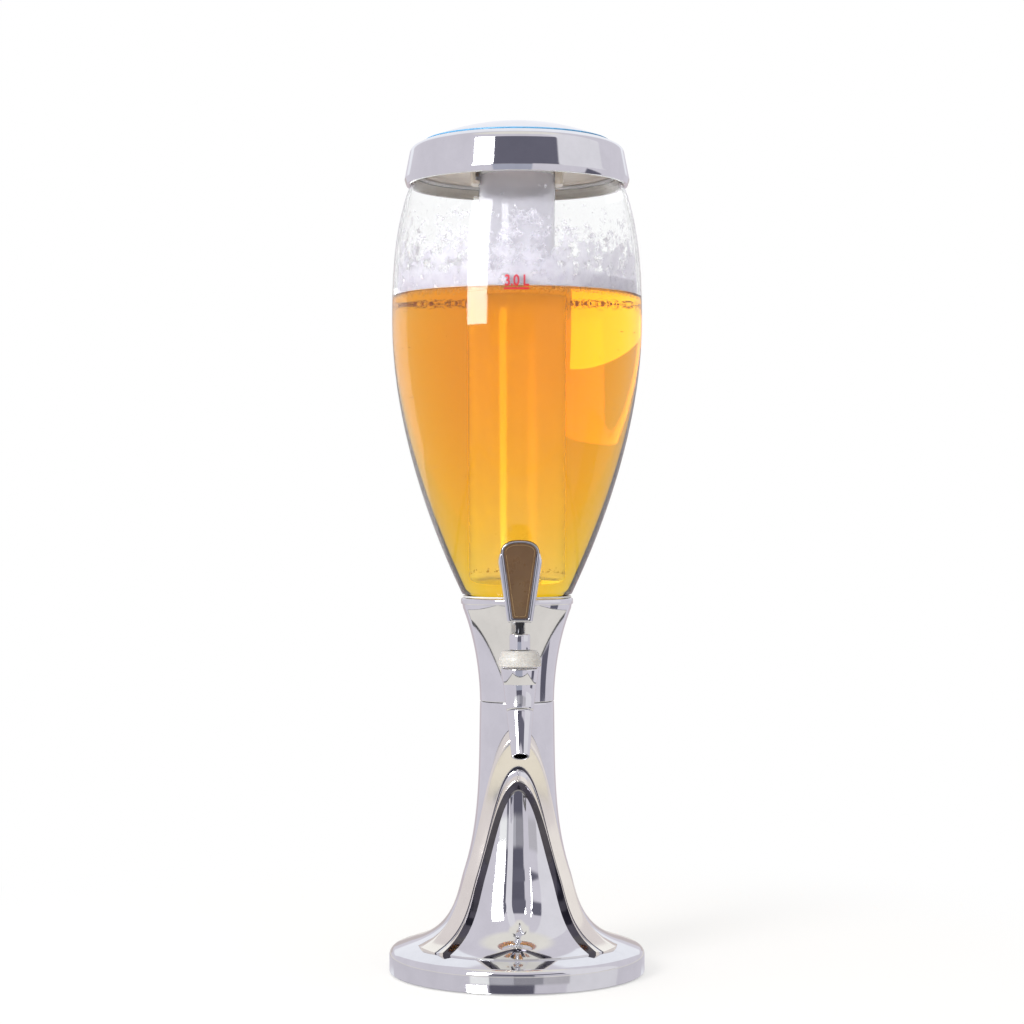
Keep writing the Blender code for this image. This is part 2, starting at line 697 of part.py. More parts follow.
def make_pedestal_shell(material):
    disc_top = [(flare_foot_radius, flare_foot_height), (FOOT_RADIUS, FOOT_EDGE_HEIGHT)]
    post_top_height = height_at(disc_top, post_circle_radius) - PEDESTAL_WALL / 2
    ledge_height = ring_bottom_height - SEAT_GAP
    core_top_height = ledge_height - SPIGOT_LENGTH / 2
    outer = flare_outline(7) + foot_outline()
    hollow = inset(flare_outline(4) + foot_outline(), PEDESTAL_WALL)
    hollow = [point for point in hollow if point[1] < core_top_height]
    hollow[-1] = (hollow[-1][0], SHELL_CLEARANCE)
    bore = [
        (socket_radius, PEDESTAL_HEIGHT),
        (socket_radius, ledge_height),
        (socket_core_radius, ledge_height),
        (socket_core_radius, core_top_height),
    ]
    shell = turned_piece("pedestal_shell", outer + (bore + hollow)[::-1], material, ROUND_SIDES)
    outer_angles = even_steps(-OUTER_EDGE_ANGLE, OUTER_EDGE_ANGLE, OUTER_COLUMNS)
    outer_shares = [math.sin(math.radians(angle)) for angle in outer_angles]
    panel_right = PANEL_COLUMN_SHARES[1:]
    panel_shares = [-share for share in reversed(panel_right)] + list(PANEL_COLUMN_SHARES)
    outer_layer = arch_layer(
        "outer_arch_layer",
        0.0,
        ARCH_STEP,
        (OUTER_ARCH_DROP, OUTER_ARCH_HALF_ANGLE),
        (OUTER_CREST_DROP, OUTER_CREST_HALF_ANGLE),
        ARCH_TOE_REACH,
        outer_shares,
        no_sink,
    )
    panel_layer = arch_layer(
        "panel_layer",
        ARCH_STEP,
        2 * ARCH_STEP,
        (INNER_ARCH_DROP, INNER_ARCH_HALF_ANGLE),
        (INNER_CREST_DROP, INNER_CREST_HALF_ANGLE),
        PANEL_TOE_REACH,
        panel_shares,
        flute_sink,
    )
    join(shell, outer_layer)
    join(shell, panel_layer)
    join(shell, upright_cylinders("screw_posts", POST_RADIUS, cover_top_height + SEAT_GAP, post_top_height))
    screw_top = cover_bottom_height + SCREW_LENGTH
    cut(
        shell,
        upright_cylinders("post_holes", SCREW_RADIUS + SEAT_GAP, cover_bottom_height, screw_top + SEAT_GAP),
    )
    return shell


def lug_angles(offset=0.0):
    return [90.0 + offset + 360.0 * index / LUG_COUNT for index in range(LUG_COUNT)]


def make_bayonet_ring(material):
    """Stands on the pedestal's ledge. The lugs drop through its slots, turn under it and meet its stops."""
    top = ring_bottom_height + BAYONET_RING_HEIGHT
    outline = ring_outline(ring_bore_radius, socket_radius - SEAT_GAP, ring_bottom_height, top)
    ring = turned_piece("bayonet_ring", outline, material, ROUND_SIDES)
    slots = arc_blocks(
        "lug_slots",
        lug_angles(BAYONET_TURN),
        ring_outline(
            ring_bore_radius - CUT_OVERRUN,
            lug_radius + SEAT_GAP,
            ring_bottom_height - CUT_OVERRUN,
            top + CUT_OVERRUN,
        ),
        LUG_HALF_ANGLE + LUG_SLACK_ANGLE,
    )
    cut(ring, slots)
    stop_bottom = ring_bottom_height - LUG_THICKNESS
    stops = arc_blocks(
        "lug_stops",
        lug_angles(-LUG_HALF_ANGLE - STOP_HALF_ANGLE - STOP_SLACK_ANGLE),
        ring_outline(ring_bore_radius + SEAT_GAP, lug_radius, stop_bottom, ring_bottom_height + BITE),
        STOP_HALF_ANGLE,
        1,
    )
    join(ring, stops)
    return ring


def make_base(pad, cast_iron, black_plastic, steel):
    ballast_bottom = cover_top_height + SEAT_GAP
    ballast_radius = post_circle_radius - POST_RADIUS - BALLAST_CLEARANCE
    turned_piece(
        "ballast_ring",
        ring_outline(BALLAST_BORE_RADIUS, ballast_radius, ballast_bottom, ballast_bottom + BALLAST_THICKNESS),
        cast_iron,
        ROUND_SIDES,
    )
    cover_radius = FOOT_RADIUS - PEDESTAL_WALL - NEST_GAP
    cover_disc = disc_outline(cover_radius, cover_bottom_height, cover_top_height)
    cover = turned_piece("bottom_cover", cover_disc, black_plastic, ROUND_SIDES, False)
    head_top = cover_bottom_height + SCREW_HEAD_THICKNESS
    head_room = SCREW_HEAD_RADIUS + SEAT_GAP
    below = cover_bottom_height - CUT_OVERRUN
    above = cover_top_height + CUT_OVERRUN
    cut(cover, upright_cylinders("head_recesses", head_room, below, head_top + SEAT_GAP))
    cut(cover, upright_cylinders("screw_holes", SCREW_RADIUS + SEAT_GAP, below, above))
    screw_outline = [
        (0.0, cover_bottom_height + SCREW_LENGTH),
        (SCREW_RADIUS, cover_bottom_height + SCREW_LENGTH),
        (SCREW_RADIUS, head_top),
        (SCREW_HEAD_RADIUS, head_top),
        (SCREW_HEAD_RADIUS, cover_bottom_height),
        (0.0, cover_bottom_height),
    ]
    for number, (x, y) in enumerate(post_places(), 1):
        screw = turned_piece(f"cover_screw_{number}", screw_outline, steel, SMALL_SIDES, False)
        screw.location = (x, y, 0)
    pad_disc = disc_outline(FOOT_RADIUS - PAD_INSET, 0.0, PAD_THICKNESS)
    turned_piece("base_pad", pad_disc, pad, ROUND_SIDES, False)


# Stem and vessel


def collar_flare(count):
    """The stem's flare, from the lip down to the seam."""
    mouth = (COLLAR_MOUTH_RADIUS, collar_height - COLLAR_MOUTH_DROP)
    return curve_between(mouth, COLLAR_MOUTH_LEAN, (STEM_RADIUS, stem_floor_height), COLLAR_FOOT_LEAN, count)


def lip_outline():
    lip_foot = collar_height - LIP_HEIGHT
    top = rounded_corner(
        (collar_bore_radius, collar_height), (lip_radius, collar_height), (lip_radius, lip_foot), LIP_ROUNDING
    )
    return top + [(lip_radius, lip_foot + LIP_ROUNDING / 2)]


def shank_cutter(name, radius, near, far):
    """A hole along the shank, between two distances in front of the tower's axis."""
    return link_tool(
        name, cylinder_mesh(name, radius, (0, -near, shank_height), (0, -far, shank_height), TAP_SIDES)
    )


def make_stem_collar(material):
    flare = collar_flare(7)
    bore = inset(collar_flare(5), COLLAR_WALL)
    floor_top = stem_floor_height + COLLAR_FLOOR
    bore = [(collar_bore_radius, collar_height)] + [p for p in bore if p[1] > floor_top + COLLAR_WALL]
    bore.append((bore[-1][0], floor_top))
    spigot_end = stem_floor_height - SPIGOT_LENGTH
    outline = lip_outline() + flare
    outline += [(spigot_radius, stem_floor_height), (spigot_radius, spigot_end)]
    outline += [(spigot_radius - SPIGOT_WALL, spigot_end), (spigot_radius - SPIGOT_WALL, floor_top)]
    outline += bore[::-1]
    collar = turned_piece("stem_collar", outline, material, ROUND_SIDES)
    lugs = arc_blocks(
        "stem_lugs",
        lug_angles(),
        ring_outline(spigot_radius - SPIGOT_WALL / 2, lug_radius, spigot_end, spigot_end + LUG_THICKNESS),
        LUG_HALF_ANGLE,
    )
    join(collar, lugs)
    cut(collar, shank_cutter("collar_hole", SHANK_RADIUS + NEST_GAP, STEM_RADIUS / 2, TAP_REACH))
    return collar


def vessel_belly(count):
    """The vessel above the lip, from its rim down to the shoulder."""
    neck_in = curve_between((RIM_RADIUS, rim_height), RIM_LEAN, (BELLY_RADIUS, belly_height), 0.0, count)
    shoulder = (COLLAR_MOUTH_RADIUS, vessel_shoulder_height + VESSEL_SHOULDER_LIFT)
    bowl = curve_between((BELLY_RADIUS, belly_height), 0.0, shoulder, VESSEL_SHOULDER_LEAN, 2 * count)
    return [(mouth_radius, mouth_height)] + neck_in + bowl[1:]


def vessel_neck(count):
    """The closed neck inside the collar, from the shoulder down."""
    lining = inset(collar_flare(count), COLLAR_WALL + NEST_GAP)
    straight = [point for point in lining if point[1] > vessel_floor_height + NECK_FOOT_ROUNDING]
    return [(vessel_neck_radius, vessel_shoulder_height)] + straight


def make_vessel(material):
    outer_neck = vessel_neck(5)
    foot = (outer_neck[-1][0], vessel_floor_height)
    outer = vessel_belly(4) + outer_neck
    outer += rounded_corner(outer_neck[-1], foot, (0.0, vessel_floor_height), NECK_FOOT_ROUNDING)
    outer.append((0.0, vessel_floor_height))
    belly_lining = inset(vessel_belly(3), VESSEL_WALL)
    belly_lining[0] = (belly_lining[0][0], mouth_height)
    neck_lining = [(radius - VESSEL_WALL, height) for radius, height in vessel_neck(3)]
    inner_floor = vessel_floor_height + VESSEL_WALL
    inner_foot = (neck_lining[-1][0], inner_floor)
    lining = belly_lining + neck_lining
    lining += rounded_corner(neck_lining[-1], inner_foot, (0.0, inner_floor), NECK_FOOT_ROUNDING, 2)
    lining.append((0.0, inner_floor))
    vessel = turned_piece("vessel", (outer[::-1] + lining)[::-1], material, ROUND_SIDES, False)
    cut(vessel, shank_cutter("neck_hole", SHANK_RADIUS + NEST_GAP, STEM_RADIUS / 2, TAP_REACH))
    return vessel


def make_neck_gasket(material):
    bottom = collar_height + SEAT_GAP
    outer = lip_radius - LIP_ROUNDING
    inner = outer - GASKET_WIDTH
    section = ring_outline(inner, outer, bottom, vessel_shoulder_height - SEAT_GAP)
    return turned_piece("neck_gasket", section, material, ROUND_SIDES)


# Lid and ice tube


def lid_dome(count):
    """The dome's arc from its top to the shoulder."""
    sag = lid_height - lid_shoulder_height
    arc_radius = (lid_shoulder_radius ** 2 + sag ** 2) / (2 * sag)
    half = math.asin(lid_shoulder_radius / arc_radius)
    return [
        (arc_radius * math.sin(angle), lid_height - arc_radius * (1 - math.cos(angle)))
        for angle in even_steps(0.0, half, count)
    ]


def lid_outline(count):
    dome = lid_dome(count)
    skirt = (lid_skirt_radius, lid_skirt_height)
    corner = rounded_corner(dome[-2], dome[-1], skirt, LID_SHOULDER_ROUNDING, 3)
    return dome[:-1] + corner + [skirt, (lid_edge_radius, lid_edge_height)]


def make_lid_shell(material):
    outer = lid_outline(6)
    lining = inset(lid_outline(4), LID_WALL)
    lining[0] = (0.0, lining[0][1])
    lining[-1] = (lining[-1][0], lid_edge_height)
    return turned_piece("lid_shell", outer + lining[::-1], material, ROUND_SIDES, False)


def make_lid_liner(material):
    """The inner plate: a stepped disc, a rim up to the dome and two hooks that hold the tube's lugs."""
    lining = inset(lid_outline(4), LID_WALL)
    rim_radius = radius_at(lining[2:], liner_height + LINER_RIM_HEIGHT) - NEST_GAP
    step_radius = rim_radius - LINER_STEP_WIDTH
    plate_bottom = liner_height + LINER_STEP
    plate_top = liner_height + LINER_THICKNESS + LINER_STEP
    rim_top = liner_height + LINER_RIM_HEIGHT
    hook_radius = tube_lug_radius + NEST_GAP + HOOK_WALL
    hub_radius = hook_radius + LINER_STEP
    outline = [
        (0.0, plate_top),
        (rim_radius - LINER_RIM_THICKNESS, plate_top),
        (rim_radius - LINER_RIM_THICKNESS, rim_top),
        (rim_radius, rim_top),
        (rim_radius, liner_height),
        (step_radius, liner_height),
        (step_radius - LINER_STEP, plate_bottom),
        (hub_radius + LINER_STEP, plate_bottom),
        (hub_radius, liner_height),
        (0.0, liner_height),
    ]
    liner = turned_piece("lid_liner", outline, material, ROUND_SIDES, False)
    shelf_top = tube_lug_top - TUBE_LUG_THICKNESS - SEAT_GAP
    shelf_bottom = shelf_top - HOOK_SHELF
    hook_half_angle = TUBE_LUG_HALF_ANGLE + HOOK_SLACK_ANGLE
    inner = TUBE_TOP_RADIUS + NEST_GAP
    hook_section = [
        (hook_radius, liner_height + BITE),
        (hook_radius, shelf_bottom),
        (inner, shelf_bottom),
        (inner, shelf_top),
        (tube_lug_radius + NEST_GAP, shelf_top),
        (tube_lug_radius + NEST_GAP, liner_height + BITE),
    ]
    join(liner, arc_blocks("hooks", (0.0, 180.0), hook_section, hook_half_angle))
    stop_section = ring_outline(
        inner + SEAT_GAP, hook_radius - HOOK_WALL / 3, shelf_bottom + SEAT_GAP, liner_height + BITE / 2
    )
    stop_angle = hook_half_angle + HOOK_STOP_OFFSET_ANGLE
    stop_angles = (-stop_angle, 180.0 - stop_angle)
    join(liner, arc_blocks("hook_stops", stop_angles, stop_section, HOOK_STOP_HALF_ANGLE, 1))
    return liner


def make_lid_seal(material):
    bottom = mouth_height + SEAT_GAP
    return turned_piece(
        "lid_seal",
        ring_outline(mouth_radius - SEAL_WIDTH, mouth_radius, bottom, bottom + SEAL_THICKNESS),
        material,
        ROUND_SIDES,
    )


def make_ice_tube(material):
    foot = (tube_end_radius, tube_end_height)
    top = (TUBE_TOP_RADIUS, tube_top_height)
    inner_floor = tube_end_height + TUBE_WALL
    inner_foot = (tube_end_radius - TUBE_WALL, inner_floor)
    inner_top = (TUBE_TOP_RADIUS - TUBE_WALL, tube_top_height)
    outer = [top] + rounded_corner(top, foot, (0.0, tube_end_height), TUBE_END_ROUNDING)
    outer.append((0.0, tube_end_height))
    lining = [inner_top]
    lining += rounded_corner(inner_top, inner_foot, (0.0, inner_floor), TUBE_END_ROUNDING - TUBE_WALL, 2)
    lining.append((0.0, inner_floor))
    tube = turned_piece("ice_tube", (outer[::-1] + lining)[::-1], material, TUBE_SIDES, False)
    lugs = arc_blocks(
        "tube_lugs",
        (0.0, 180.0),
        ring_outline(
            TUBE_TOP_RADIUS - TUBE_WALL / 2, tube_lug_radius, tube_lug_top - TUBE_LUG_THICKNESS, tube_lug_top
        ),
        TUBE_LUG_HALF_ANGLE,
    )
    join(tube, lugs)
    return tube


def make_tube_seal(material):
    bottom = tube_top_height + SEAT_GAP
    return turned_piece(
        "tube_seal",
        ring_outline(TUBE_TOP_RADIUS - TUBE_WALL, TUBE_TOP_RADIUS, bottom, bottom + TUBE_SEAL_THICKNESS),
        material,
        TUBE_SIDES,
    )


# Tap


def spout_line(first_share, last_share, count):
    """Places along the spout's middle, which leans further forward as it drops."""
    mouth = (SPOUT_REACH, spout_mouth_height)
    line = curve_between((0.0, barrel_foot_height), -SPOUT_TOP_LEAN, mouth, -SPOUT_MOUTH_LEAN, FLARE_STEPS)
    shares = even_steps(first_share, last_share, count)
    heights = [barrel_foot_height - SPOUT_DROP * share for share in shares]
    return [(0.0, -TAP_REACH - radius_at(line, height), height) for height in heights]


def spout_radius(height):
    share = (barrel_foot_height - height) / SPOUT_DROP
    return spout_top_radius + (SPOUT_MOUTH_RADIUS - spout_top_radius) * share


def seam_after_share():
    return SPOUT_SEAM_SHARE + SPOUT_SEAM / SPOUT_DROP


def tap_profile_tool(name, outline, closed=False):
    tool = turned_tool(name, outline, TAP_SIDES, closed)
    tool.location = (0, -TAP_REACH, 0)
    return tool


def saddle_face(name, clearance, inner_outline):
    """A round block with the outline of the stem or of the neck, for shaping a washer's curved side."""
    grown = [(radius + clearance, height) for radius, height in inner_outline]
    grown = [(0.0, grown[0][1])] + grown + [(0.0, grown[-1][1])]
    return turned_tool(name, grown, ROUND_SIDES, False)


def neck_inner_radius():
    return radius_at(vessel_neck(5)[1:], shank_height) - VESSEL_WALL


def washer_face_reach():
    return neck_inner_radius() - WASHER_THICKNESS


def shank_end_reach():
    return washer_face_reach() - SEAT_GAP - NUT_THICKNESS - SHANK_TAIL


def flange_back_reach():
    return radius_at(collar_flare(7), shank_height) + GASKET_THICKNESS + SEAT_GAP


def make_tap_body(material):
    barrel = [
        (0.0, thread_height),
        (THREAD_RADIUS, thread_height),
        (THREAD_RADIUS, barrel_top_height),
        (barrel_top_radius - BITE, barrel_top_height),
        (barrel_top_radius, barrel_top_height - BITE),
        (barrel_foot_radius, barrel_foot_height),
        (0.0, barrel_foot_height),
    ]
    body = turned_piece("tap_body", barrel, material, TAP_SIDES, False)
    body.location = (0, -TAP_REACH, 0)
    upper = spout_line(0.0, SPOUT_SEAM_SHARE, 5)
    upper[0] = (0.0, -TAP_REACH, barrel_foot_height + BITE)
    spout = link_tool("upper_spout", swept_mesh("upper_spout", upper, [spout_radius(p[2]) for p in upper], 8))
    join(body, spout)
    flange_back = TAP_REACH - flange_back_reach()
    shank_end = TAP_REACH - shank_end_reach()
    arm = turned_tool(
        "arm_and_shank",
        [
            (0.0, shank_end),
            (SHANK_RADIUS, shank_end),
            (SHANK_RADIUS, flange_back),
            (FLANGE_RADIUS, flange_back),
            (FLANGE_RADIUS, flange_back - FLANGE_THICKNESS),
            (ARM_RADIUS, flange_back - FLANGE_THICKNESS - BITE),
            (ARM_RADIUS, 0.0),
            (0.0, 0.0),
        ],
        TAP_SIDES,
        False,
    )
    arm.rotation_euler = (-math.pi / 2, 0, 0)
    arm.location = (0, -TAP_REACH, shank_height)
    join(body, arm)
    chamber = tap_profile_tool(
        "valve_chamber", disc_outline(chamber_radius, seat_height, thread_height + CUT_OVERRUN)
    )
    cut(body, chamber)
    bore_end_reach = TAP_REACH + SHANK_BORE_RADIUS / 2
    cut(body, shank_cutter("shank_bore", SHANK_BORE_RADIUS, shank_end_reach() - CUT_OVERRUN, bore_end_reach))
    throat_end = spout_line(0.0, seam_after_share(), 1)[1]
    throat_start = (0.0, -TAP_REACH, seat_height + CUT_OVERRUN)
    throat = cylinder_mesh("throat", throat_radius, throat_start, throat_end, SMALL_SIDES)
    cut(body, link_tool("throat", throat), "MANIFOLD")
    socket_share = SLEEVE_LENGTH / SPOUT_DROP
    socket_line = spout_line(SPOUT_SEAM_SHARE - socket_share, seam_after_share() + socket_share, 4)
    sleeve_radius = spout_bore_radius + SLEEVE_WALL + SEAT_GAP
    sleeve_socket = swept_mesh("sleeve_socket", socket_line, [sleeve_radius] * 5, 4)
    cut(body, link_tool("sleeve_socket", sleeve_socket), "MANIFOLD")
    return body


def make_spout_nozzle(material):
    line = spout_line(seam_after_share(), 1.0, 6)
    mesh = swept_mesh("spout_nozzle", line, [spout_radius(point[2]) for point in line], 8)
    nozzle = link_piece("spout_nozzle", mesh, material)
    sleeve_share = (SLEEVE_LENGTH - 2 * SEAT_GAP) / SPOUT_DROP
    sleeve_line = spout_line(SPOUT_SEAM_SHARE - sleeve_share, seam_after_share() + sleeve_share / 3, 3)
    sleeve = swept_mesh("nozzle_sleeve", sleeve_line, [spout_bore_radius + SLEEVE_WALL] * 4, 4)
    join(nozzle, link_tool("nozzle_sleeve", sleeve))
    bore_line = spout_line(SPOUT_SEAM_SHARE - 2 * sleeve_share, BORE_OVERRUN_SHARE, 10)
    cut(nozzle, link_tool("nozzle_bore", swept_mesh("nozzle_bore", bore_line, [spout_bore_radius] * 11, 4)))
    return nozzle


def make_tap_gasket(material):
    """Saddle washer: flat against the flange, hollowed to the stem."""
    near = STEM_RADIUS - WASHER_THICKNESS
    mesh = cylinder_mesh(
        "tap_gasket",
        FLANGE_RADIUS - SEAT_GAP,
        (0, -near, shank_height),
        (0, -flange_back_reach() + SEAT_GAP, shank_height),
        TAP_SIDES,
    )
    gasket = link_piece("tap_gasket", mesh, material)
    cut(gasket, saddle_face("stem_face", SEAT_GAP, collar_flare(7)))
    cut(gasket, shank_cutter("gasket_hole", SHANK_RADIUS + SEAT_GAP, near - CUT_OVERRUN, TAP_REACH))
    return gasket


def make_neck_washer(material):
    """Saddle washer inside the neck: rounded to the vessel, flat against the nut."""
    mesh = cylinder_mesh(
        "neck_washer",
        WASHER_RADIUS,
        (0, -washer_face_reach(), shank_height),
        (0, -STEM_RADIUS, shank_height),
        TAP_SIDES,
    )
    washer = link_piece("neck_washer", mesh, material)
    lining = [(radius - VESSEL_WALL, height) for radius, height in vessel_neck(3)[1:]]
    combine(washer, saddle_face("neck_face", -SEAT_GAP, lining), "INTERSECT")
    cut(washer, shank_cutter("washer_hole", SHANK_RADIUS + SEAT_GAP, shank_end_reach(), TAP_REACH))
    return washer


def make_shank_nut(material):
    front = washer_face_reach() - SEAT_GAP
    mesh = cylinder_mesh(
        "shank_nut", NUT_RADIUS, (0, -front, shank_height), (0, -front + NUT_THICKNESS, shank_height), 6
    )
    nut = link_piece("shank_nut", mesh, material)
    cut(nut, shank_cutter("nut_bore", SHANK_RADIUS + SEAT_GAP, 0.0, TAP_REACH))
    return nut


def make_bonnet_nut(material):
    rod_hole = ROD_RADIUS + NEST_GAP
    inner_top = (rod_hole, bonnet_top_height)
    inner_bottom = (bonnet_socket_radius, bonnet_bottom_height)
    widest = (bonnet_radius, (bonnet_bottom_height + bonnet_top_height) / 2)
    shoulder = (bonnet_radius - BONNET_TOP_INSET, bonnet_top_height)
    outline = [inner_top] + rounded_corner(inner_top, shoulder, widest, BONNET_ROUNDING) + [widest]
    outline += rounded_corner(widest, (bonnet_radius, bonnet_bottom_height), inner_bottom, BITE, 2)
    outline += [inner_bottom, (bonnet_socket_radius, bonnet_roof_height), (rod_hole, bonnet_roof_height)]
    nut = turned_piece("bonnet_nut", outline, material, TAP_SIDES)
    nut.location = (0, -TAP_REACH, 0)
    return nut


def make_valve_spring(material):
    top = bonnet_roof_height - SEAT_GAP - SPRING_WIRE_RADIUS
    bottom = spring_foot_height + SPRING_WIRE_RADIUS
    points = []
    steps = SPRING_SIDES_PER_TURN * SPRING_TURNS
    for step in range(steps + 1):
        angle = math.tau * SPRING_TURNS * step / steps
        height = bottom + (top - bottom) * step / steps
        points.append((SPRING_RADIUS * math.cos(angle), SPRING_RADIUS * math.sin(angle), height))
    coil = swept_mesh("valve_spring", points, [SPRING_WIRE_RADIUS] * len(points), 1)
    spring = link_piece("valve_spring", coil, material)
    spring.location = (0, -TAP_REACH, 0)
    return spring


# Valve and lever


def add_axis(name, place):
    """An empty on a joint's axis, which the moving pieces hang from."""
    axis = bpy.data.objects.new(name, None)
    axis.location = place
    assembly.objects.link(axis)
    return axis


def hang(axis, pieces):
    bpy.context.view_layer.update()
    for piece in pieces:
        piece.parent = axis
        piece.matrix_parent_inverse = axis.matrix_world.inverted()


def make_plunger(steel, silicone):
    rod = turned_piece(
        "plunger_rod",
        [
            (0.0, pivot_height + ROD_RADIUS),
            (ROD_RADIUS, pivot_height + ROD_RADIUS - BITE),
            (ROD_RADIUS, spring_seat_height + SPRING_SEAT_THICKNESS),
            (spring_seat_radius, spring_seat_height + SPRING_SEAT_THICKNESS),
            (spring_seat_radius, spring_seat_height),
            (ROD_RADIUS, spring_seat_height),
            (ROD_RADIUS, plug_bottom_height + BITE),
            (0.0, plug_bottom_height + BITE),
        ],
        steel,
        SMALL_SIDES,
        False,
    )
    rod.location = (0, -TAP_REACH, 0)
    eye = link_tool(
        "rod_eye",
        cylinder_mesh(
            "rod_eye",
            PIN_RADIUS + PIVOT_GAP,
            (-HUB_RADIUS, -TAP_REACH, pivot_height),
            (HUB_RADIUS, -TAP_REACH, pivot_height),
            SMALL_SIDES,
        ),
    )
    cut(rod, eye)
    socket = ROD_RADIUS + SEAT_GAP
    plug = turned_piece(
        "valve_plug",
        [
            (socket, plug_top_height),
            (plug_radius - BITE, plug_top_height),
            (plug_radius, plug_top_height - BITE),
            (plug_radius, plug_bottom_height + BITE),
            (plug_radius - BITE, plug_bottom_height),
            (0.0, plug_bottom_height),
            (0.0, plug_bottom_height + BITE - SEAT_GAP),
            (socket, plug_bottom_height + BITE - SEAT_GAP),
        ],
        silicone,
        TAP_SIDES,
    )
    plug.location = (0, -TAP_REACH, 0)
    return [rod, plug]


def mirrored_outline(right_side):
    """A closed outline from its right half, which runs from the bottom to the top."""
    left_side = [(-x, z) for x, z in reversed(right_side) if x > 0]
    return right_side + left_side


def paddle_outline():
    bottom = (HANDLE_END_HALF_WIDTH, 0.0)
    widest = (HANDLE_HALF_WIDTH, HANDLE_LENGTH - HANDLE_WIDEST_DROP)
    shoulder = (HANDLE_HALF_WIDTH - HANDLE_SHOULDER_INSET, HANDLE_LENGTH - HANDLE_SHOULDER_DROP)
    right = rounded_corner((0.0, 0.0), bottom, widest, BITE, 2)
    right += rounded_corner(bottom, widest, shoulder, HANDLE_WAIST_ROUNDING, 3)
    right += rounded_corner(widest, shoulder, (0.0, shoulder[1]), HANDLE_CORNER_ROUNDING, 3)
    return mirrored_outline(right)


def frame_outline(shrink):
    """The raised frame round the plate, or the plate itself when shrunk."""
    bottom = (HANDLE_END_HALF_WIDTH - FRAME_END_INSET - shrink, FRAME_EDGE + shrink)
    widest = (HANDLE_HALF_WIDTH - FRAME_INSET - shrink, HANDLE_LENGTH - FRAME_WIDEST_DROP)
    rise = FRAME_WIDEST_DROP - shrink
    right = rounded_corner((0.0, bottom[1]), bottom, widest, FRAME_EDGE, 2)
    right.append(widest)
    for angle in even_steps(0.0, 90.0, 6)[1:]:
        turn_angle = math.radians(angle)
        across = math.cos(turn_angle) ** PLATE_CROWN_SHARE
        right.append((widest[0] * across, widest[1] + rise * math.sin(turn_angle)))
    right[-1] = (0.0, widest[1] + rise)
    return mirrored_outline(right)


def lifted(outline):
    return [(x, z + handle_foot_height) for x, z in outline]


def place_handle(obj):
    """Leans a handle piece forward about the foot of the handle."""
    foot = Vector((0, -TAP_REACH, handle_foot_height))
    lean = Matrix.Rotation(math.radians(HANDLE_LEAN), 4, "X")
    obj.matrix_world = Matrix.Translation(foot) @ lean @ Matrix.Translation(-foot)


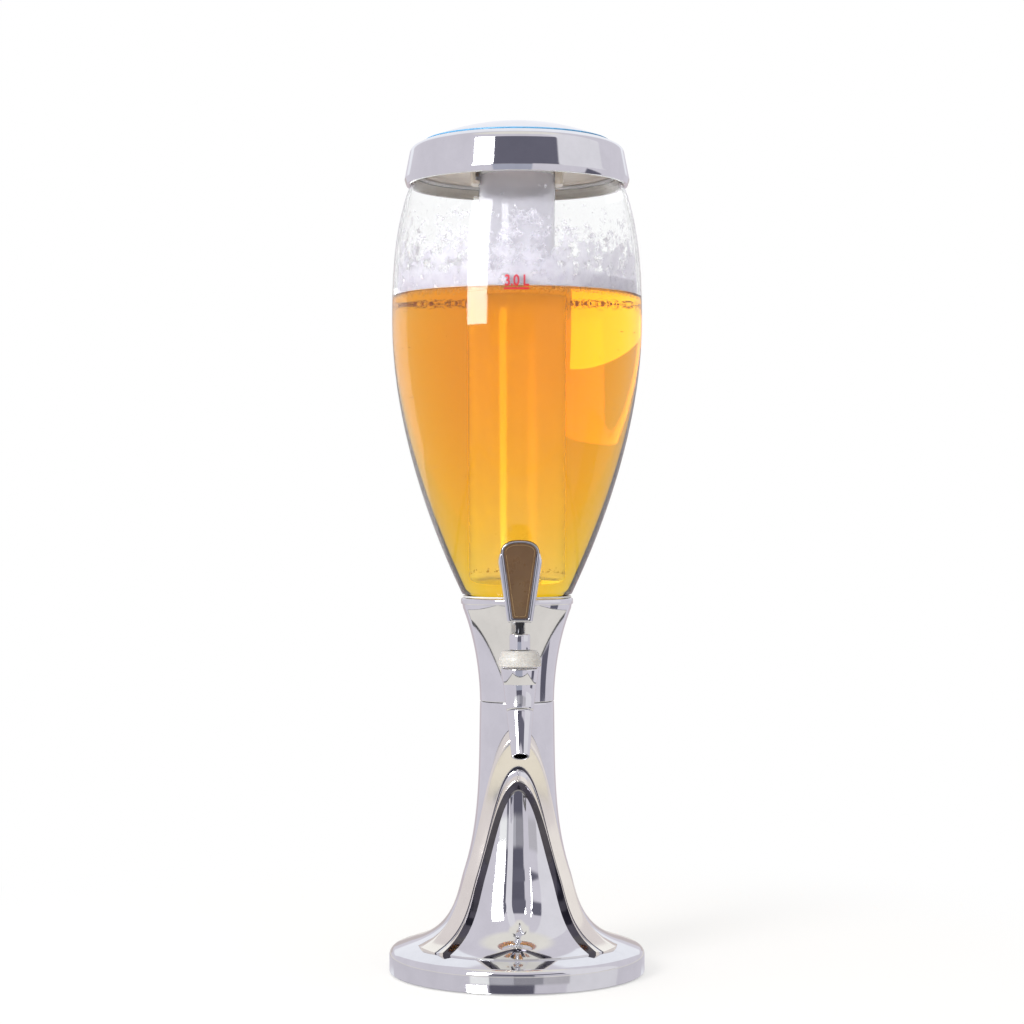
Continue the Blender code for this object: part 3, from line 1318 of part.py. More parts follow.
def make_lever(chrome, steel, dark_metal, brown):
    hub_outline = [
        (0.0, hub_top_height),
        (HUB_RADIUS - BITE / 2, hub_top_height),
        (HUB_RADIUS, hub_top_height - BITE / 2),
        (HUB_RADIUS, hub_foot_height + BITE / 2),
        (HUB_RADIUS - BITE / 2, hub_foot_height),
        (0.0, hub_foot_height),
    ]
    hub = turned_piece("lever_hub", hub_outline, chrome, TAP_SIDES, False)
    hub.location = (0, -TAP_REACH, 0)
    bm = bmesh.new()
    bmesh.ops.create_cube(bm, size=1.0)
    pocket_half_width = ROD_RADIUS + NEST_GAP
    pocket_bottom = hub_foot_height - CUT_OVERRUN
    pocket_length = 2 * (HUB_RADIUS - HUB_POCKET_WALL)
    size = (2 * pocket_half_width, pocket_length, hub_pocket_top - pocket_bottom)
    bmesh.ops.scale(bm, vec=size, verts=bm.verts)
    bmesh.ops.translate(bm, vec=(0, -TAP_REACH, (hub_pocket_top + pocket_bottom) / 2), verts=bm.verts)
    cut(hub, link_tool("hub_pocket", mesh_from(bm, "hub_pocket")))
    hub_side = HUB_RADIUS + CUT_OVERRUN
    pin_hole = cylinder_mesh(
        "hub_pin_hole",
        PIN_RADIUS + SEAT_GAP,
        (-hub_side, -TAP_REACH, pivot_height),
        (hub_side, -TAP_REACH, pivot_height),
        SMALL_SIDES,
    )
    cut(hub, link_tool("hub_pin_hole", pin_hole))
    tip_bottom = stud_foot_height - STUD_TIP_LENGTH
    tip_hole = tap_profile_tool(
        "stud_tip_hole",
        disc_outline(STUD_TIP_RADIUS + SEAT_GAP, tip_bottom - SEAT_GAP, hub_top_height + CUT_OVERRUN),
    )
    cut(hub, tip_hole)
    pin_end = HUB_RADIUS - SEAT_GAP
    pin = link_piece(
        "pivot_pin",
        cylinder_mesh(
            "pivot_pin",
            PIN_RADIUS,
            (-pin_end, -TAP_REACH, pivot_height),
            (pin_end, -TAP_REACH, pivot_height),
            SMALL_SIDES,
        ),
        steel,
    )
    stud_top = handle_foot_height + STUD_SOCKET_DEPTH
    stud = turned_piece(
        "handle_stud",
        [
            (0.0, stud_top),
            (STUD_RADIUS, stud_top),
            (STUD_RADIUS, stud_foot_height),
            (STUD_TIP_RADIUS, stud_foot_height),
            (STUD_TIP_RADIUS, tip_bottom),
            (0.0, tip_bottom),
        ],
        dark_metal,
        TAP_SIDES,
        False,
    )
    stud.location = (0, -TAP_REACH, 0)
    back = -TAP_REACH + handle_thickness / 2
    front = -TAP_REACH - handle_thickness / 2
    frame_front = front - FRAME_RISE
    paddle = flat_mesh("handle_shell", lifted(paddle_outline()), front, back)
    shell = link_piece("handle_shell", paddle, chrome)
    weld = shell.modifiers.new("weld", "WELD")
    weld.merge_threshold = MERGE_DISTANCE
    bevel = shell.modifiers.new("rounding", "BEVEL")
    bevel.width = HANDLE_EDGE_ROUNDING
    bevel.segments = 2
    bevel.limit_method = "ANGLE"
    bevel.angle_limit = math.radians(50)
    frame_back = (front + back) / 2
    frame = flat_mesh("handle_frame", lifted(frame_outline(0.0)), frame_front, frame_back)
    join(shell, link_tool("handle_frame", frame))
    recess_front = frame_front - CUT_OVERRUN
    recess_back = frame_front + RECESS_DEPTH
    recess = flat_mesh("plate_recess", lifted(frame_outline(FRAME_EDGE)), recess_front, recess_back)
    cut(shell, link_tool("plate_recess", recess))
    plate_back = recess_back - SEAT_GAP
    plate_face = lifted(frame_outline(FRAME_EDGE + SEAT_GAP))
    plate_mesh = flat_mesh("handle_plate", plate_face, plate_back - PLATE_THICKNESS, plate_back)
    plate = link_piece("handle_plate", plate_mesh, brown)
    place_handle(shell)
    place_handle(plate)
    for name in ("handle_frame", "plate_recess"):
        place_handle(tool_shapes.objects[name])
    socket = tap_profile_tool(
        "stud_socket",
        disc_outline(STUD_RADIUS + NEST_GAP, handle_foot_height - 3 * CUT_OVERRUN, stud_top + SEAT_GAP),
    )
    cut(shell, socket)
    return [hub, pin, stud, shell, plate]


def build():
    global assembly, tool_shapes
    clear_scene()
    assembly = add_collection("beer_tower")
    tool_shapes = add_collection("tools")

    chrome = make_material("chrome_plating", (0.86, 0.86, 0.87), 0.06, metallic=1.0)
    clear_plastic = make_material("clear_plastic", (0.97, 0.98, 0.98), 0.03, transmission=1.0)
    white_plastic = make_material("white_translucent", (0.90, 0.90, 0.90), 0.35)
    nylon = make_material("white_nylon", (0.86, 0.85, 0.81), 0.40)
    ivory = make_material("ivory_plastic", (0.78, 0.74, 0.68), 0.45)
    silicone = make_material("clear_silicone", (0.80, 0.80, 0.78), 0.50)
    grey_plastic = make_material("grey_plastic", (0.30, 0.30, 0.31), 0.50)
    black_plastic = make_material("black_plastic", (0.03, 0.03, 0.03), 0.50)
    foam_pad = make_material("foam_pad", (0.05, 0.05, 0.05), 0.90)
    cast_iron = make_material("cast_iron", (0.20, 0.20, 0.20), 0.60, metallic=0.8)
    steel = make_material("steel", (0.60, 0.60, 0.60), 0.25, metallic=1.0)
    dark_metal = make_material("dark_metal", (0.10, 0.10, 0.11), 0.25, metallic=1.0)
    brown = make_material("brown_plate", (0.13, 0.05, 0.015), 0.35)

    make_pedestal_shell(chrome)
    make_bayonet_ring(grey_plastic)
    make_base(foam_pad, cast_iron, black_plastic, steel)

    tower = [
        make_stem_collar(chrome),
        make_vessel(clear_plastic),
        make_neck_gasket(silicone),
        make_tap_body(chrome),
        make_spout_nozzle(chrome),
        make_tap_gasket(silicone),
        make_neck_washer(silicone),
        make_shank_nut(white_plastic),
        make_bonnet_nut(nylon),
        make_valve_spring(steel),
    ]
    lid = [make_lid_shell(chrome), make_lid_liner(ivory), make_lid_seal(silicone)]
    tube = [make_ice_tube(white_plastic), make_tube_seal(silicone)]
    plunger = make_plunger(steel, silicone)
    lever = make_lever(chrome, steel, dark_metal, brown)

    tower_axis = add_axis("tower_axis", (0, 0, PEDESTAL_HEIGHT))
    lid_axis = add_axis("lid_axis", (0, 0, lid_edge_height))
    tube_axis = add_axis("tube_axis", (0, 0, tube_top_height))
    plunger_axis = add_axis("plunger_axis", (0, -TAP_REACH, plug_bottom_height))
    lever_axis = add_axis("lever_axis", (0, -TAP_REACH, pivot_height))
    hang(tower_axis, tower + [lid_axis, plunger_axis])
    hang(lid_axis, lid + [tube_axis])
    hang(tube_axis, tube)
    hang(plunger_axis, plunger + [lever_axis])
    hang(lever_axis, lever)
    bpy.context.view_layer.update()


build()
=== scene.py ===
# Beer tower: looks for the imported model. Metres, +Z up, the tap faces -Y.
import math

import bmesh
import bpy
import numpy as np
from mathutils import Matrix, Vector


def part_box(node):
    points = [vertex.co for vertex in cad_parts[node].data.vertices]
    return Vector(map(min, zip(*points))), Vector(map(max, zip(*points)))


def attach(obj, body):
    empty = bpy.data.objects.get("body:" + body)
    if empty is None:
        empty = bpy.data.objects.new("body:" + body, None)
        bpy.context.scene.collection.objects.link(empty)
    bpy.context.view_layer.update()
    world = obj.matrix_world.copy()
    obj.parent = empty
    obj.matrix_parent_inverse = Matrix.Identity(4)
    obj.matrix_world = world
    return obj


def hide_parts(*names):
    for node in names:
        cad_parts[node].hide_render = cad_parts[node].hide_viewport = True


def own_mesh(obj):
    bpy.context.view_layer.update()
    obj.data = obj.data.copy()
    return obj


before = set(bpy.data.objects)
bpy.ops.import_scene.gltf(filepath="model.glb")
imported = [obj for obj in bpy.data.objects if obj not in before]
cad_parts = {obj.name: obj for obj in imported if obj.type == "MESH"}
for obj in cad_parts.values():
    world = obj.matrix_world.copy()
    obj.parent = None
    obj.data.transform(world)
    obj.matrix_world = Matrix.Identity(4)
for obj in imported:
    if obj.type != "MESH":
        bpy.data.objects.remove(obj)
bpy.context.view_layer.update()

seatGap = 0.0003      # between two faces that touch
weldDistance = 0.000002
tiny = 1e-7           # shorter than this counts as nothing


# Outlines: lists of (radius, height), run down the outer side.
# "corners" hold the radius and the number of steps of each round corner.


def evenSteps(start, end, count):
    return [start + (end - start) * step / count for step in range(count + 1)]


def curveBetween(start, startLean, end, endLean, count, endPull=1 / 3):
    # one cubic curve; leans are degrees off the vertical
    rise = end[1] - start[1]
    first, last = Vector(start), Vector(end)
    startAngle, endAngle = math.radians(startLean), math.radians(endLean)
    near = first + Vector((math.sin(startAngle), math.cos(startAngle))) * (1 / 3 * rise)
    far = last - Vector((math.sin(endAngle), math.cos(endAngle))) * (endPull * rise)
    points = []
    for t in evenSteps(0.0, 1.0, count):
        u = 1 - t
        points.append(tuple(first * u ** 3 + near * (3 * u * u * t) + far * (3 * u * t * t) + last * t ** 3))
    return points


def roundedCorner(before, corner, after, radius, count=6):
    middle = Vector(corner)
    armIn = (Vector(before) - middle).normalized()
    armOut = (Vector(after) - middle).normalized()
    half = armIn.angle(armOut) / 2
    centre = middle + (armIn + armOut).normalized() * (radius / math.sin(half))
    start = middle + armIn * (radius / math.tan(half)) - centre
    end = middle + armOut * (radius / math.tan(half)) - centre
    sweep = start.angle_signed(end)
    points = []
    for share in evenSteps(0.0, 1.0, count):
        spoke = start.copy()
        spoke.rotate(Matrix.Rotation(-sweep * share, 2))
        points.append(tuple(centre + spoke))
    return points


def roundedPath(path, *corners):
    # the inner points of a path as round corners, each given by its radius and its number of steps
    points = []
    for before, corner, after, (radius, count) in zip(path, path[1:], path[2:], corners):
        points += roundedCorner(before, corner, after, radius, count)
    return points


def outlineNormal(before, here, after, turn):
    # the mean normal of a point's two arms, and the first arm's own; turn is 1 or -1
    arms = [arm.normalized() for arm in (here - before, after - here) if arm.length > tiny / 100]
    normals = [Vector((turn * arm.y, -turn * arm.x)) for arm in arms]
    return sum(normals, Vector((0.0, 0.0))).normalized(), normals[0]


def insetOutline(points, wall):
    moved = []
    for index, point in enumerate(points):
        here = Vector(point)
        before = Vector(points[max(index - 1, 0)])
        after = Vector(points[min(index + 1, len(points) - 1)])
        middle, first = outlineNormal(before, here, after, 1)
        moved.append(tuple(here + middle * (wall / max(middle.dot(first), 0.5))))
    return moved


def insetLoop(outline, amount):
    # a closed (x, z) outline drawn in by an amount, along its own normals
    moved = []
    for index, point in enumerate(outline):
        here, before = Vector(point), Vector(outline[index - 1])
        after = Vector(outline[(index + 1) % len(outline)])
        moved.append(tuple(here + outlineNormal(before, here, after, -1)[0] * amount))
    return moved


def radiusAt(points, height):
    ordered = sorted((z, r) for r, z in points)
    return float(np.interp(height, [p[0] for p in ordered], [p[1] for p in ordered]))


def heightAt(points, radius):
    ordered = sorted(points)
    return float(np.interp(radius, [p[0] for p in ordered], [p[1] for p in ordered]))


def ringOutline(inner, outer, bottom, top, rounding=0.0003, count=3):
    corners = [(outer, top), (outer, bottom), (inner, bottom), (inner, top)]
    points = []
    for index, corner in enumerate(corners):
        points += roundedCorner(corners[index - 1], corner, corners[(index + 1) % 4], rounding, count)
    return points


def thinBand(outline, heights, gap, thickness):
    # a closed outline that follows the inside of another, a gap away from it
    near = [(radiusAt(outline, height) - gap, height) for height in heights]
    return near[::-1] + [(radius - thickness, height) for radius, height in near]


# Solids, each added to the mesh of its piece


def polar(radius, angle, height):
    return Vector((radius * math.cos(angle), radius * math.sin(angle), height))


def turnAngles(sides):
    return [math.tau * side / sides for side in range(sides)]


def circle(radius, height, sides):
    return [polar(radius, angle, height) for angle in turnAngles(sides)]


def addTurned(bm, outline, sides, closed=True, place=None):
    # a closed outline stays off the axis, an open one has both ends on it
    place = place or Matrix()
    rings = []
    for radius, height in outline:
        spots = circle(radius, height, sides if radius > tiny else 1)
        rings.append([bm.verts.new(place @ spot) for spot in spots])
    pairs = list(zip(rings, rings[1:]))
    if closed:
        pairs.append((rings[-1], rings[0]))
    for upper, lower in pairs:
        for side in range(sides):
            ahead = (side + 1) % sides
            corners = [upper[side % len(upper)], upper[ahead % len(upper)]]
            corners += [lower[ahead % len(lower)], lower[side % len(lower)]]
            face = list(dict.fromkeys(corners))
            if len(face) > 2:
                bm.faces.new(face)


def addLoops(bm, loops, caps=True, joined=False):
    # strips between closed loops of points, with caps or with the last loop joined to the first
    rings = [[bm.verts.new(point) for point in loop] for loop in loops]
    for near, far in zip(rings, rings[1:] + rings[:1] if joined else rings[1:]):
        for index in range(len(near)):
            ahead = (index + 1) % len(near)
            bm.faces.new((near[index], near[ahead], far[ahead], far[index]))
    if caps:
        bm.faces.new(rings[0])
        bm.faces.new(rings[-1])


def ringRound(centre, across, up, radius, sides):
    return [
        centre + (across * math.cos(angle) + up * math.sin(angle)) * radius for angle in turnAngles(sides)
    ]


def addSwept(bm, points, directions, radii, sides):
    # a round bar whose middle line lies in the plane through the tower and the tap
    across = Vector((1.0, 0.0, 0.0))
    addLoops(bm, [
        ringRound(point, across, across.cross(along), radius, sides)
        for point, along, radius in zip(points, directions, radii)
    ])


def addArcBlock(bm, section, middleAngle, halfAngle, steps=16):
    angles = evenSteps(math.radians(middleAngle - halfAngle), math.radians(middleAngle + halfAngle), steps)
    addLoops(bm, [[(r * math.cos(angle), r * math.sin(angle), z) for r, z in section] for angle in angles])


def addPiece(name, work, looks, body, slotName, *replaced, sharpAngle=40.0):
    # work is the piece's bmesh, or a mesh that is ready; looks are its finishes, in the order of its slots
    mesh = work
    if isinstance(work, bmesh.types.BMesh):
        bmesh.ops.remove_doubles(work, verts=work.verts, dist=weldDistance)
        bmesh.ops.recalc_face_normals(work, faces=work.faces)
        mesh = bpy.data.meshes.new(name)
        work.to_mesh(mesh)
        work.free()
        mesh.shade_smooth()
        mesh.set_sharp_from_angle(angle=math.radians(sharpAngle))
    obj = bpy.data.objects.new(name, mesh)
    bpy.context.scene.collection.objects.link(obj)
    for look in [looks] if isinstance(looks, str) else looks:
        mesh.materials.append(finish[look])
    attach(obj, body)
    if replaced:
        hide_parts(*replaced)
    return obj


def addTurnedPiece(name, outline, sides, look, body, slotName, *replaced, sharpAngle=40.0, **how):
    bm = bmesh.new()
    addTurned(bm, outline, sides, **how)
    return addPiece(name, bm, look, body, slotName, *replaced, sharpAngle=sharpAngle)


# Nodes, and shader groups that several finishes share


def plug(tree, source, socket):
    # the source is a value, or the socket that feeds this one
    if isinstance(source, bpy.types.NodeSocket):
        tree.links.new(source, socket)
    else:
        socket.default_value = source


def addNode(tree, kind, inputs=None, **settings):
    node = tree.nodes.new(kind)
    for name, value in settings.items():
        setattr(node, name, value)
    for name, source in (inputs or {}).items():
        plug(tree, source, node.inputs[name])
    return node


def addMath(tree, operation, *inputs, **settings):
    node = addNode(tree, "ShaderNodeMath", dict(enumerate(inputs)), operation=operation, **settings)
    return node.outputs["Value"]


def mapRange(tree, source, low, high, start=0.0, end=1.0, **settings):
    values = {"Value": source, "From Min": low, "From Max": high, "To Min": start, "To Max": end}
    return addNode(tree, "ShaderNodeMapRange", values, **settings).outputs["Result"]


def addNoise(tree, place, scale, detail, roughness=0.5, distortion=0.0):
    node = addNode(tree, "ShaderNodeTexNoise", {
        "Vector": place, "Scale": scale, "Detail": detail, "Roughness": roughness, "Distortion": distortion,
    })
    return node.outputs["Fac"]


def layerColour(tree, below, colour, mask):
    # one colour over another where the mask is 1
    mix = addNode(tree, "ShaderNodeMix", {"Factor": mask, 6: below, 7: colour}, data_type="RGBA")
    return mix.outputs[2]


def objectPlace(tree):
    return addNode(tree, "ShaderNodeTexCoord").outputs["Object"]


def flat(grey):
    return (grey, grey, grey, 1.0)


def newGroup(name, inputs, outputs):
    group = bpy.data.node_groups.new(name, "ShaderNodeTree")
    for socketName, kind, value in inputs:
        socket = group.interface.new_socket(name=socketName, in_out="INPUT", socket_type="NodeSocket" + kind)
        socket.default_value = value
    for socketName, kind in outputs:
        group.interface.new_socket(name=socketName, in_out="OUTPUT", socket_type="NodeSocket" + kind)
    return group, group.nodes.new("NodeGroupInput").outputs, group.nodes.new("NodeGroupOutput").inputs


# Between which values of its noise each effect grows from nothing to full
noiseRanges = {"wipes": (0.35, 0.7), "scratches": (0.62, 0.72), "drift": (0.35, 0.65), "specks": (0.68, 0.74)}


def buildRippleGroup():
    # slow waves and fine grain of a moulded or plated face
    group, given, result = newGroup(
        "surfaceRipple",
        [("Wave Scale", "Float", 40.0), ("Wave Height", "Float", 0.02),
         ("Grain Scale", "Float", 900.0), ("Grain Height", "Float", 0.01)],
        [("Normal", "Vector")],
    )
    place = objectPlace(group)
    wave = addNoise(group, place, given["Wave Scale"], detail=1.5, roughness=0.4)
    grain = addNoise(group, place, given["Grain Scale"], detail=3.0, roughness=0.6)
    waves = addNode(group, "ShaderNodeBump", {
        "Height": wave, "Strength": given["Wave Height"], "Distance": 0.002,
    })
    grains = addNode(group, "ShaderNodeBump", {
        "Height": grain, "Strength": given["Grain Height"], "Distance": 0.0003,
        "Normal": waves.outputs["Normal"],
    })
    plug(group, grains.outputs["Normal"], result["Normal"])
    return group


def buildWearGroup():
    # roughness that varies with handling: cloudy wipes and thin upright scratches
    group, given, result = newGroup(
        "handlingWear",
        [("Smooth", "Float", 0.05), ("Worn", "Float", 0.12),
         ("Cloud Scale", "Float", 25.0), ("Scratches", "Float", 0.05)],
        [("Roughness", "Float")],
    )
    place = objectPlace(group)
    cloud = addNoise(group, place, given["Cloud Scale"], detail=4.0, roughness=0.55)
    upright = addNode(group, "ShaderNodeMapping", {"Vector": place, "Scale": (900.0, 900.0, 60.0)})
    lines = addNoise(group, upright.outputs["Vector"], 1.0, detail=2.0)
    wiped = mapRange(group, cloud, *noiseRanges["wipes"], given["Smooth"], given["Worn"])
    marks = mapRange(group, lines, *noiseRanges["scratches"])
    scratched = addMath(group, "MULTIPLY", marks, given["Scratches"])
    plug(group, addMath(group, "ADD", wiped, scratched), result["Roughness"])
    return group


def buildTintGroup():
    # a colour that drifts a little from place to place, with specks of dust
    group, given, result = newGroup(
        "colourDrift",
        [("Colour", "Color", flat(0.5)), ("Shade", "Color", flat(0.4)), ("Dust Colour", "Color", flat(0.6)),
         ("Dust", "Float", 0.1), ("Drift Scale", "Float", 60.0), ("Speck Scale", "Float", 1500.0)],
        [("Colour", "Color")],
    )
    place = objectPlace(group)
    drift = addNoise(group, place, given["Drift Scale"], detail=5.0, roughness=0.6)
    specks = addNoise(group, place, given["Speck Scale"], detail=1.0)
    shaded = mapRange(group, drift, *noiseRanges["drift"])
    base = layerColour(group, given["Colour"], given["Shade"], shaded)
    dusty = addMath(group, "MULTIPLY", mapRange(group, specks, *noiseRanges["specks"]), given["Dust"])
    plug(group, layerColour(group, base, given["Dust Colour"], dusty), result["Colour"])
    return group


# Each effect: its group, and the shader's socket that it feeds; a finish gives the group's inputs in order
effects = (
    (buildRippleGroup(), "Normal"), (buildWearGroup(), "Roughness"), (buildTintGroup(), "Base Color"),
)

# Each finish: the shader's own values, then its ripple, wear and tint in the order of the effects
platingRipple = (30.0, 0.012, 1100.0, 0.003)
plasticRipple = (60.0, 0.04, 1500.0, 0.3)
metalRipple = (150.0, 0.02, 2500.0, 0.1)
finishLooks = {
    "chromePlating": (
        {"Metallic": 1.0}, platingRipple, (0.03, 0.065, 22.0, 0.05),
        ((0.83, 0.835, 0.85, 1), (0.78, 0.785, 0.80, 1), flat(0.62), 0.25),
    ),
    # cream-tinted chrome: a painted reflection of the cream table in front, on the pedestal's outer steps
    "paintedCreamReflectionChrome": (
        {"Metallic": 1.0}, platingRipple, (0.10, 0.16, 22.0, 0.05),
        ((0.97, 0.93, 0.83, 1), (0.93, 0.89, 0.79, 1), flat(0.8), 0.2),
    ),
    # near-black chrome: a painted dark reflection on the pedestal's step walls and round the lever's frame
    "paintedDarkReflectionChrome": (
        {"Metallic": 1.0}, platingRipple, (0.06, 0.12, 22.0, 0.05),
        ((0.12, 0.115, 0.135, 1), (0.08, 0.075, 0.09, 1), flat(0.4), 0.2),
    ),
    "clearVessel": (
        {"Base Color": (0.985, 0.99, 0.99, 1), "Transmission Weight": 1.0, "IOR": 1.06, "Roughness": 0.015,
         "Coat Weight": 0.46, "Coat IOR": 1.5, "Coat Roughness": 0.01},
        (16.0, 0.02, 500.0, 0.002),
    ),
    "beer": (
        {"Base Color": flat(1.0), "Transmission Weight": 1.0, "IOR": 1.30, "Roughness": 0.0,
         "Specular IOR Level": 0.0},
        (9.0, 0.01, 120.0, 0.004),
    ),
    "beerFoam": (
        {"Subsurface Weight": 0.25, "Subsurface Radius": (0.01, 0.008, 0.005), "Subsurface Scale": 0.4},
        (120.0, 0.5, 700.0, 0.8), (0.35, 0.6, 300.0, 0.0),
        ((0.88, 0.84, 0.88, 1), (0.78, 0.73, 0.79, 1), (0.95, 0.93, 0.96, 1), 0.8, 160.0, 900.0),
    ),
    "frostedTube": (
        {"Transmission Weight": 0.86, "IOR": 1.08, "Coat Weight": 0.8, "Coat Roughness": 0.06},
        (30.0, 0.05, 900.0, 0.05), (0.30, 0.40, 40.0, 0.04),
        ((0.93, 0.92, 0.97, 1), (0.90, 0.89, 0.945, 1), flat(0.95), 0.2),
    ),
    "creamNylon": (
        {"Subsurface Weight": 0.4, "Subsurface Radius": (0.006, 0.005, 0.004), "Subsurface Scale": 0.5},
        (90.0, 0.06, 1600.0, 0.15), (0.28, 0.42, 120.0, 0.08),
        ((0.54, 0.525, 0.50, 1), (0.46, 0.44, 0.41, 1), (0.6, 0.57, 0.51, 1), 0.3),
    ),
    "ivoryLiner": (
        {"Subsurface Weight": 0.15, "Subsurface Radius": (0.006, 0.005, 0.004), "Subsurface Scale": 0.4},
        (50.0, 0.05, 1300.0, 0.2), (0.35, 0.5, 60.0, 0.06),
        ((0.80, 0.72, 0.61, 1), (0.74, 0.65, 0.54, 1), (0.88, 0.82, 0.73, 1), 0.3),
    ),
    "clearSilicone": (
        {"Subsurface Weight": 0.3, "Subsurface Radius": (0.005, 0.005, 0.005), "Subsurface Scale": 0.4},
        (120.0, 0.05, 1800.0, 0.1), (0.3, 0.45, 150.0, 0.02),
        ((0.72, 0.72, 0.71, 1), (0.62, 0.62, 0.61, 1), flat(0.5), 0.2),
    ),
    "padFoam": (
        {"Sheen Weight": 0.2, "Sheen Roughness": 0.6}, (300.0, 0.5, 1400.0, 0.9), (0.8, 0.95, 200.0, 0.0),
        (flat(0.028), flat(0.018), flat(0.2), 0.4),
    ),
    "castIron": (
        {"Metallic": 0.8}, (200.0, 0.5, 900.0, 0.9), (0.5, 0.75, 120.0, 0.05),
        (flat(0.11), (0.09, 0.075, 0.065, 1), flat(0.2), 0.3),
    ),
    "brightSteel": (
        {"Metallic": 1.0}, metalRipple, (0.16, 0.3, 200.0, 0.12), (flat(0.52), flat(0.45), flat(0.3), 0.2),
    ),
    "darkMetal": (
        {"Metallic": 1.0}, metalRipple, (0.18, 0.28, 200.0, 0.1),
        ((0.075, 0.075, 0.085, 1), (0.05, 0.05, 0.055, 1), flat(0.2), 0.2),
    ),
    "brownPlate": (
        {"Coat Weight": 0.5, "Coat Roughness": 0.06}, (80.0, 0.02, 2200.0, 0.15), (0.25, 0.38, 150.0, 0.1),
        ((0.105, 0.052, 0.015, 1), (0.094, 0.046, 0.013, 1), (0.3, 0.2, 0.14, 1), 0.15),
    ),
    "paleLine": (
        {"Metallic": 0.8}, (80.0, 0.02, 2500.0, 0.1), (0.25, 0.4, 200.0, 0.1),
        ((0.62, 0.42, 0.2, 1), (0.5, 0.33, 0.15, 1), flat(0.4), 0.15),
    ),
    "redInk": (
        {"Coat Weight": 0.1}, (80.0, 0.02, 2500.0, 0.2), (0.4, 0.55, 200.0, 0.0),
        ((0.52, 0.010, 0.032, 1), (0.40, 0.006, 0.022, 1), (0.8, 0.3, 0.25, 1), 0.1),
    ),
    "paleBlueRing": (
        {"Coat Weight": 0.3, "Coat Roughness": 0.1}, (80.0, 0.02, 2200.0, 0.1), (0.25, 0.4, 150.0, 0.05),
        ((0.13, 0.40, 0.68, 1), (0.10, 0.35, 0.60, 1), flat(0.7), 0.2),
    ),
    "amberFroth": (
        {"Coat Weight": 0.3}, (300.0, 0.1, 2500.0, 0.1), (0.2, 0.4, 300.0, 0.0),
        ((0.50, 0.25, 0.07, 1), (0.33, 0.14, 0.04, 1), (0.9, 0.7, 0.4, 1), 0.5),
    ),
}
for plasticName, grey in {"greyPlastic": 0.16, "blackPlastic": 0.018, "whitePlastic": 0.72}.items():
    plasticTint = (flat(grey), flat(grey * 0.85), flat(0.5), 0.15)
    finishLooks[plasticName] = ({}, plasticRipple, (0.38, 0.55, 70.0, 0.08), plasticTint)

beerAbsorption = {"Color": (0.984, 0.878, 0.0, 1), "Density": 66.0}

# Painted light: the tube glows amber between two heights, and paler towards its foot, in place of the light
# that reaches it through the beer
paintedTubeGlow = {
    "above": 0.456, "below": 0.453, "colour": (1.0, 0.56, 0.01, 1), "strength": 0.11,
    "paleAbove": 0.400, "paleBelow": 0.290, "paleColour": (0.90, 0.76, 0.95, 1),
}

# Each film spans some heights at a gap inside its wall, or outside where the gap is negative.
# It is solid at one height and gone at another.
films = {
    "foamLacing": {
        "span": (0.4574, 0.5250), "gap": 0.0003, "solidAt": 0.4560, "goneAt": 0.5260, "scale": 120.0,
        "thresholds": (0.33, 0.64), "cover": 0.48,
        "colour": (0.84, 0.81, 0.89, 1), "shade": (0.68, 0.65, 0.75, 1),
    },
    "amberEdge": {
        "span": (0.4478, 0.4564), "gap": 0.0005, "solidAt": 0.4572, "goneAt": 0.4510, "scale": 900.0,
        "thresholds": (0.40, 0.62), "cover": 0.75,
        "colour": (0.80, 0.36, 0.06, 1), "shade": (0.55, 0.22, 0.03, 1),
    },
    "tubeFroth": {
        "span": (0.2730, 0.2770), "gap": -0.0003, "solidAt": 0.2700, "goneAt": 0.2770, "scale": 420.0,
        "thresholds": (0.42, 0.62), "cover": 0.8,
        "colour": (0.75, 0.42, 0.08, 1), "shade": (0.50, 0.24, 0.04, 1),
    },
}
filmRipple = (160.0, 0.4, 900.0, 0.6)
filmSpecks = (0.5, 210.0, 1100.0)     # dust, drift scale, speck scale
filmEdge = 0.12                       # how softly a patch of film ends
filmThickness, filmSides = 0.0002, 160


def newFinish(name, values, *settings):
    # a Principled material with the shared effects plugged in
    material = bpy.data.materials.new(name)
    material.use_nodes = True
    tree = material.node_tree
    shader = tree.nodes["Principled BSDF"]
    for socketName, value in values.items():
        shader.inputs[socketName].default_value = value
    for (group, socketName), numbers in zip(effects, settings):
        if numbers:
            effect = addNode(tree, "ShaderNodeGroup", dict(enumerate(numbers)), node_tree=group)
            plug(tree, effect.outputs[0], shader.inputs[socketName])
    return material


def heightIn(tree, place):
    return addNode(tree, "ShaderNodeSeparateXYZ", {"Vector": place}).outputs["Z"]


def buildFilm(name):
    # breaks up into ragged patches on its way from solid to gone
    film = films[name]
    tint = (film["colour"], film["shade"], film["colour"]) + filmSpecks
    material = newFinish(name, {"Roughness": 0.5}, filmRipple, None, tint)
    tree = material.node_tree
    place = objectPlace(tree)
    rise = mapRange(tree, heightIn(tree, place), film["solidAt"], film["goneAt"], *film["thresholds"])
    cloud = addNoise(tree, place, film["scale"], detail=8.0, roughness=0.72, distortion=0.25)
    cover = mapRange(tree, addMath(tree, "SUBTRACT", cloud, rise), 0.0, filmEdge, 0.0, film["cover"])
    plug(tree, cover, tree.nodes["Principled BSDF"].inputs["Alpha"])
    return material


def addAbsorption(tree):
    absorb = addNode(tree, "ShaderNodeVolumeAbsorption", beerAbsorption)
    plug(tree, absorb.outputs["Volume"], tree.nodes["Material Output"].inputs["Volume"])


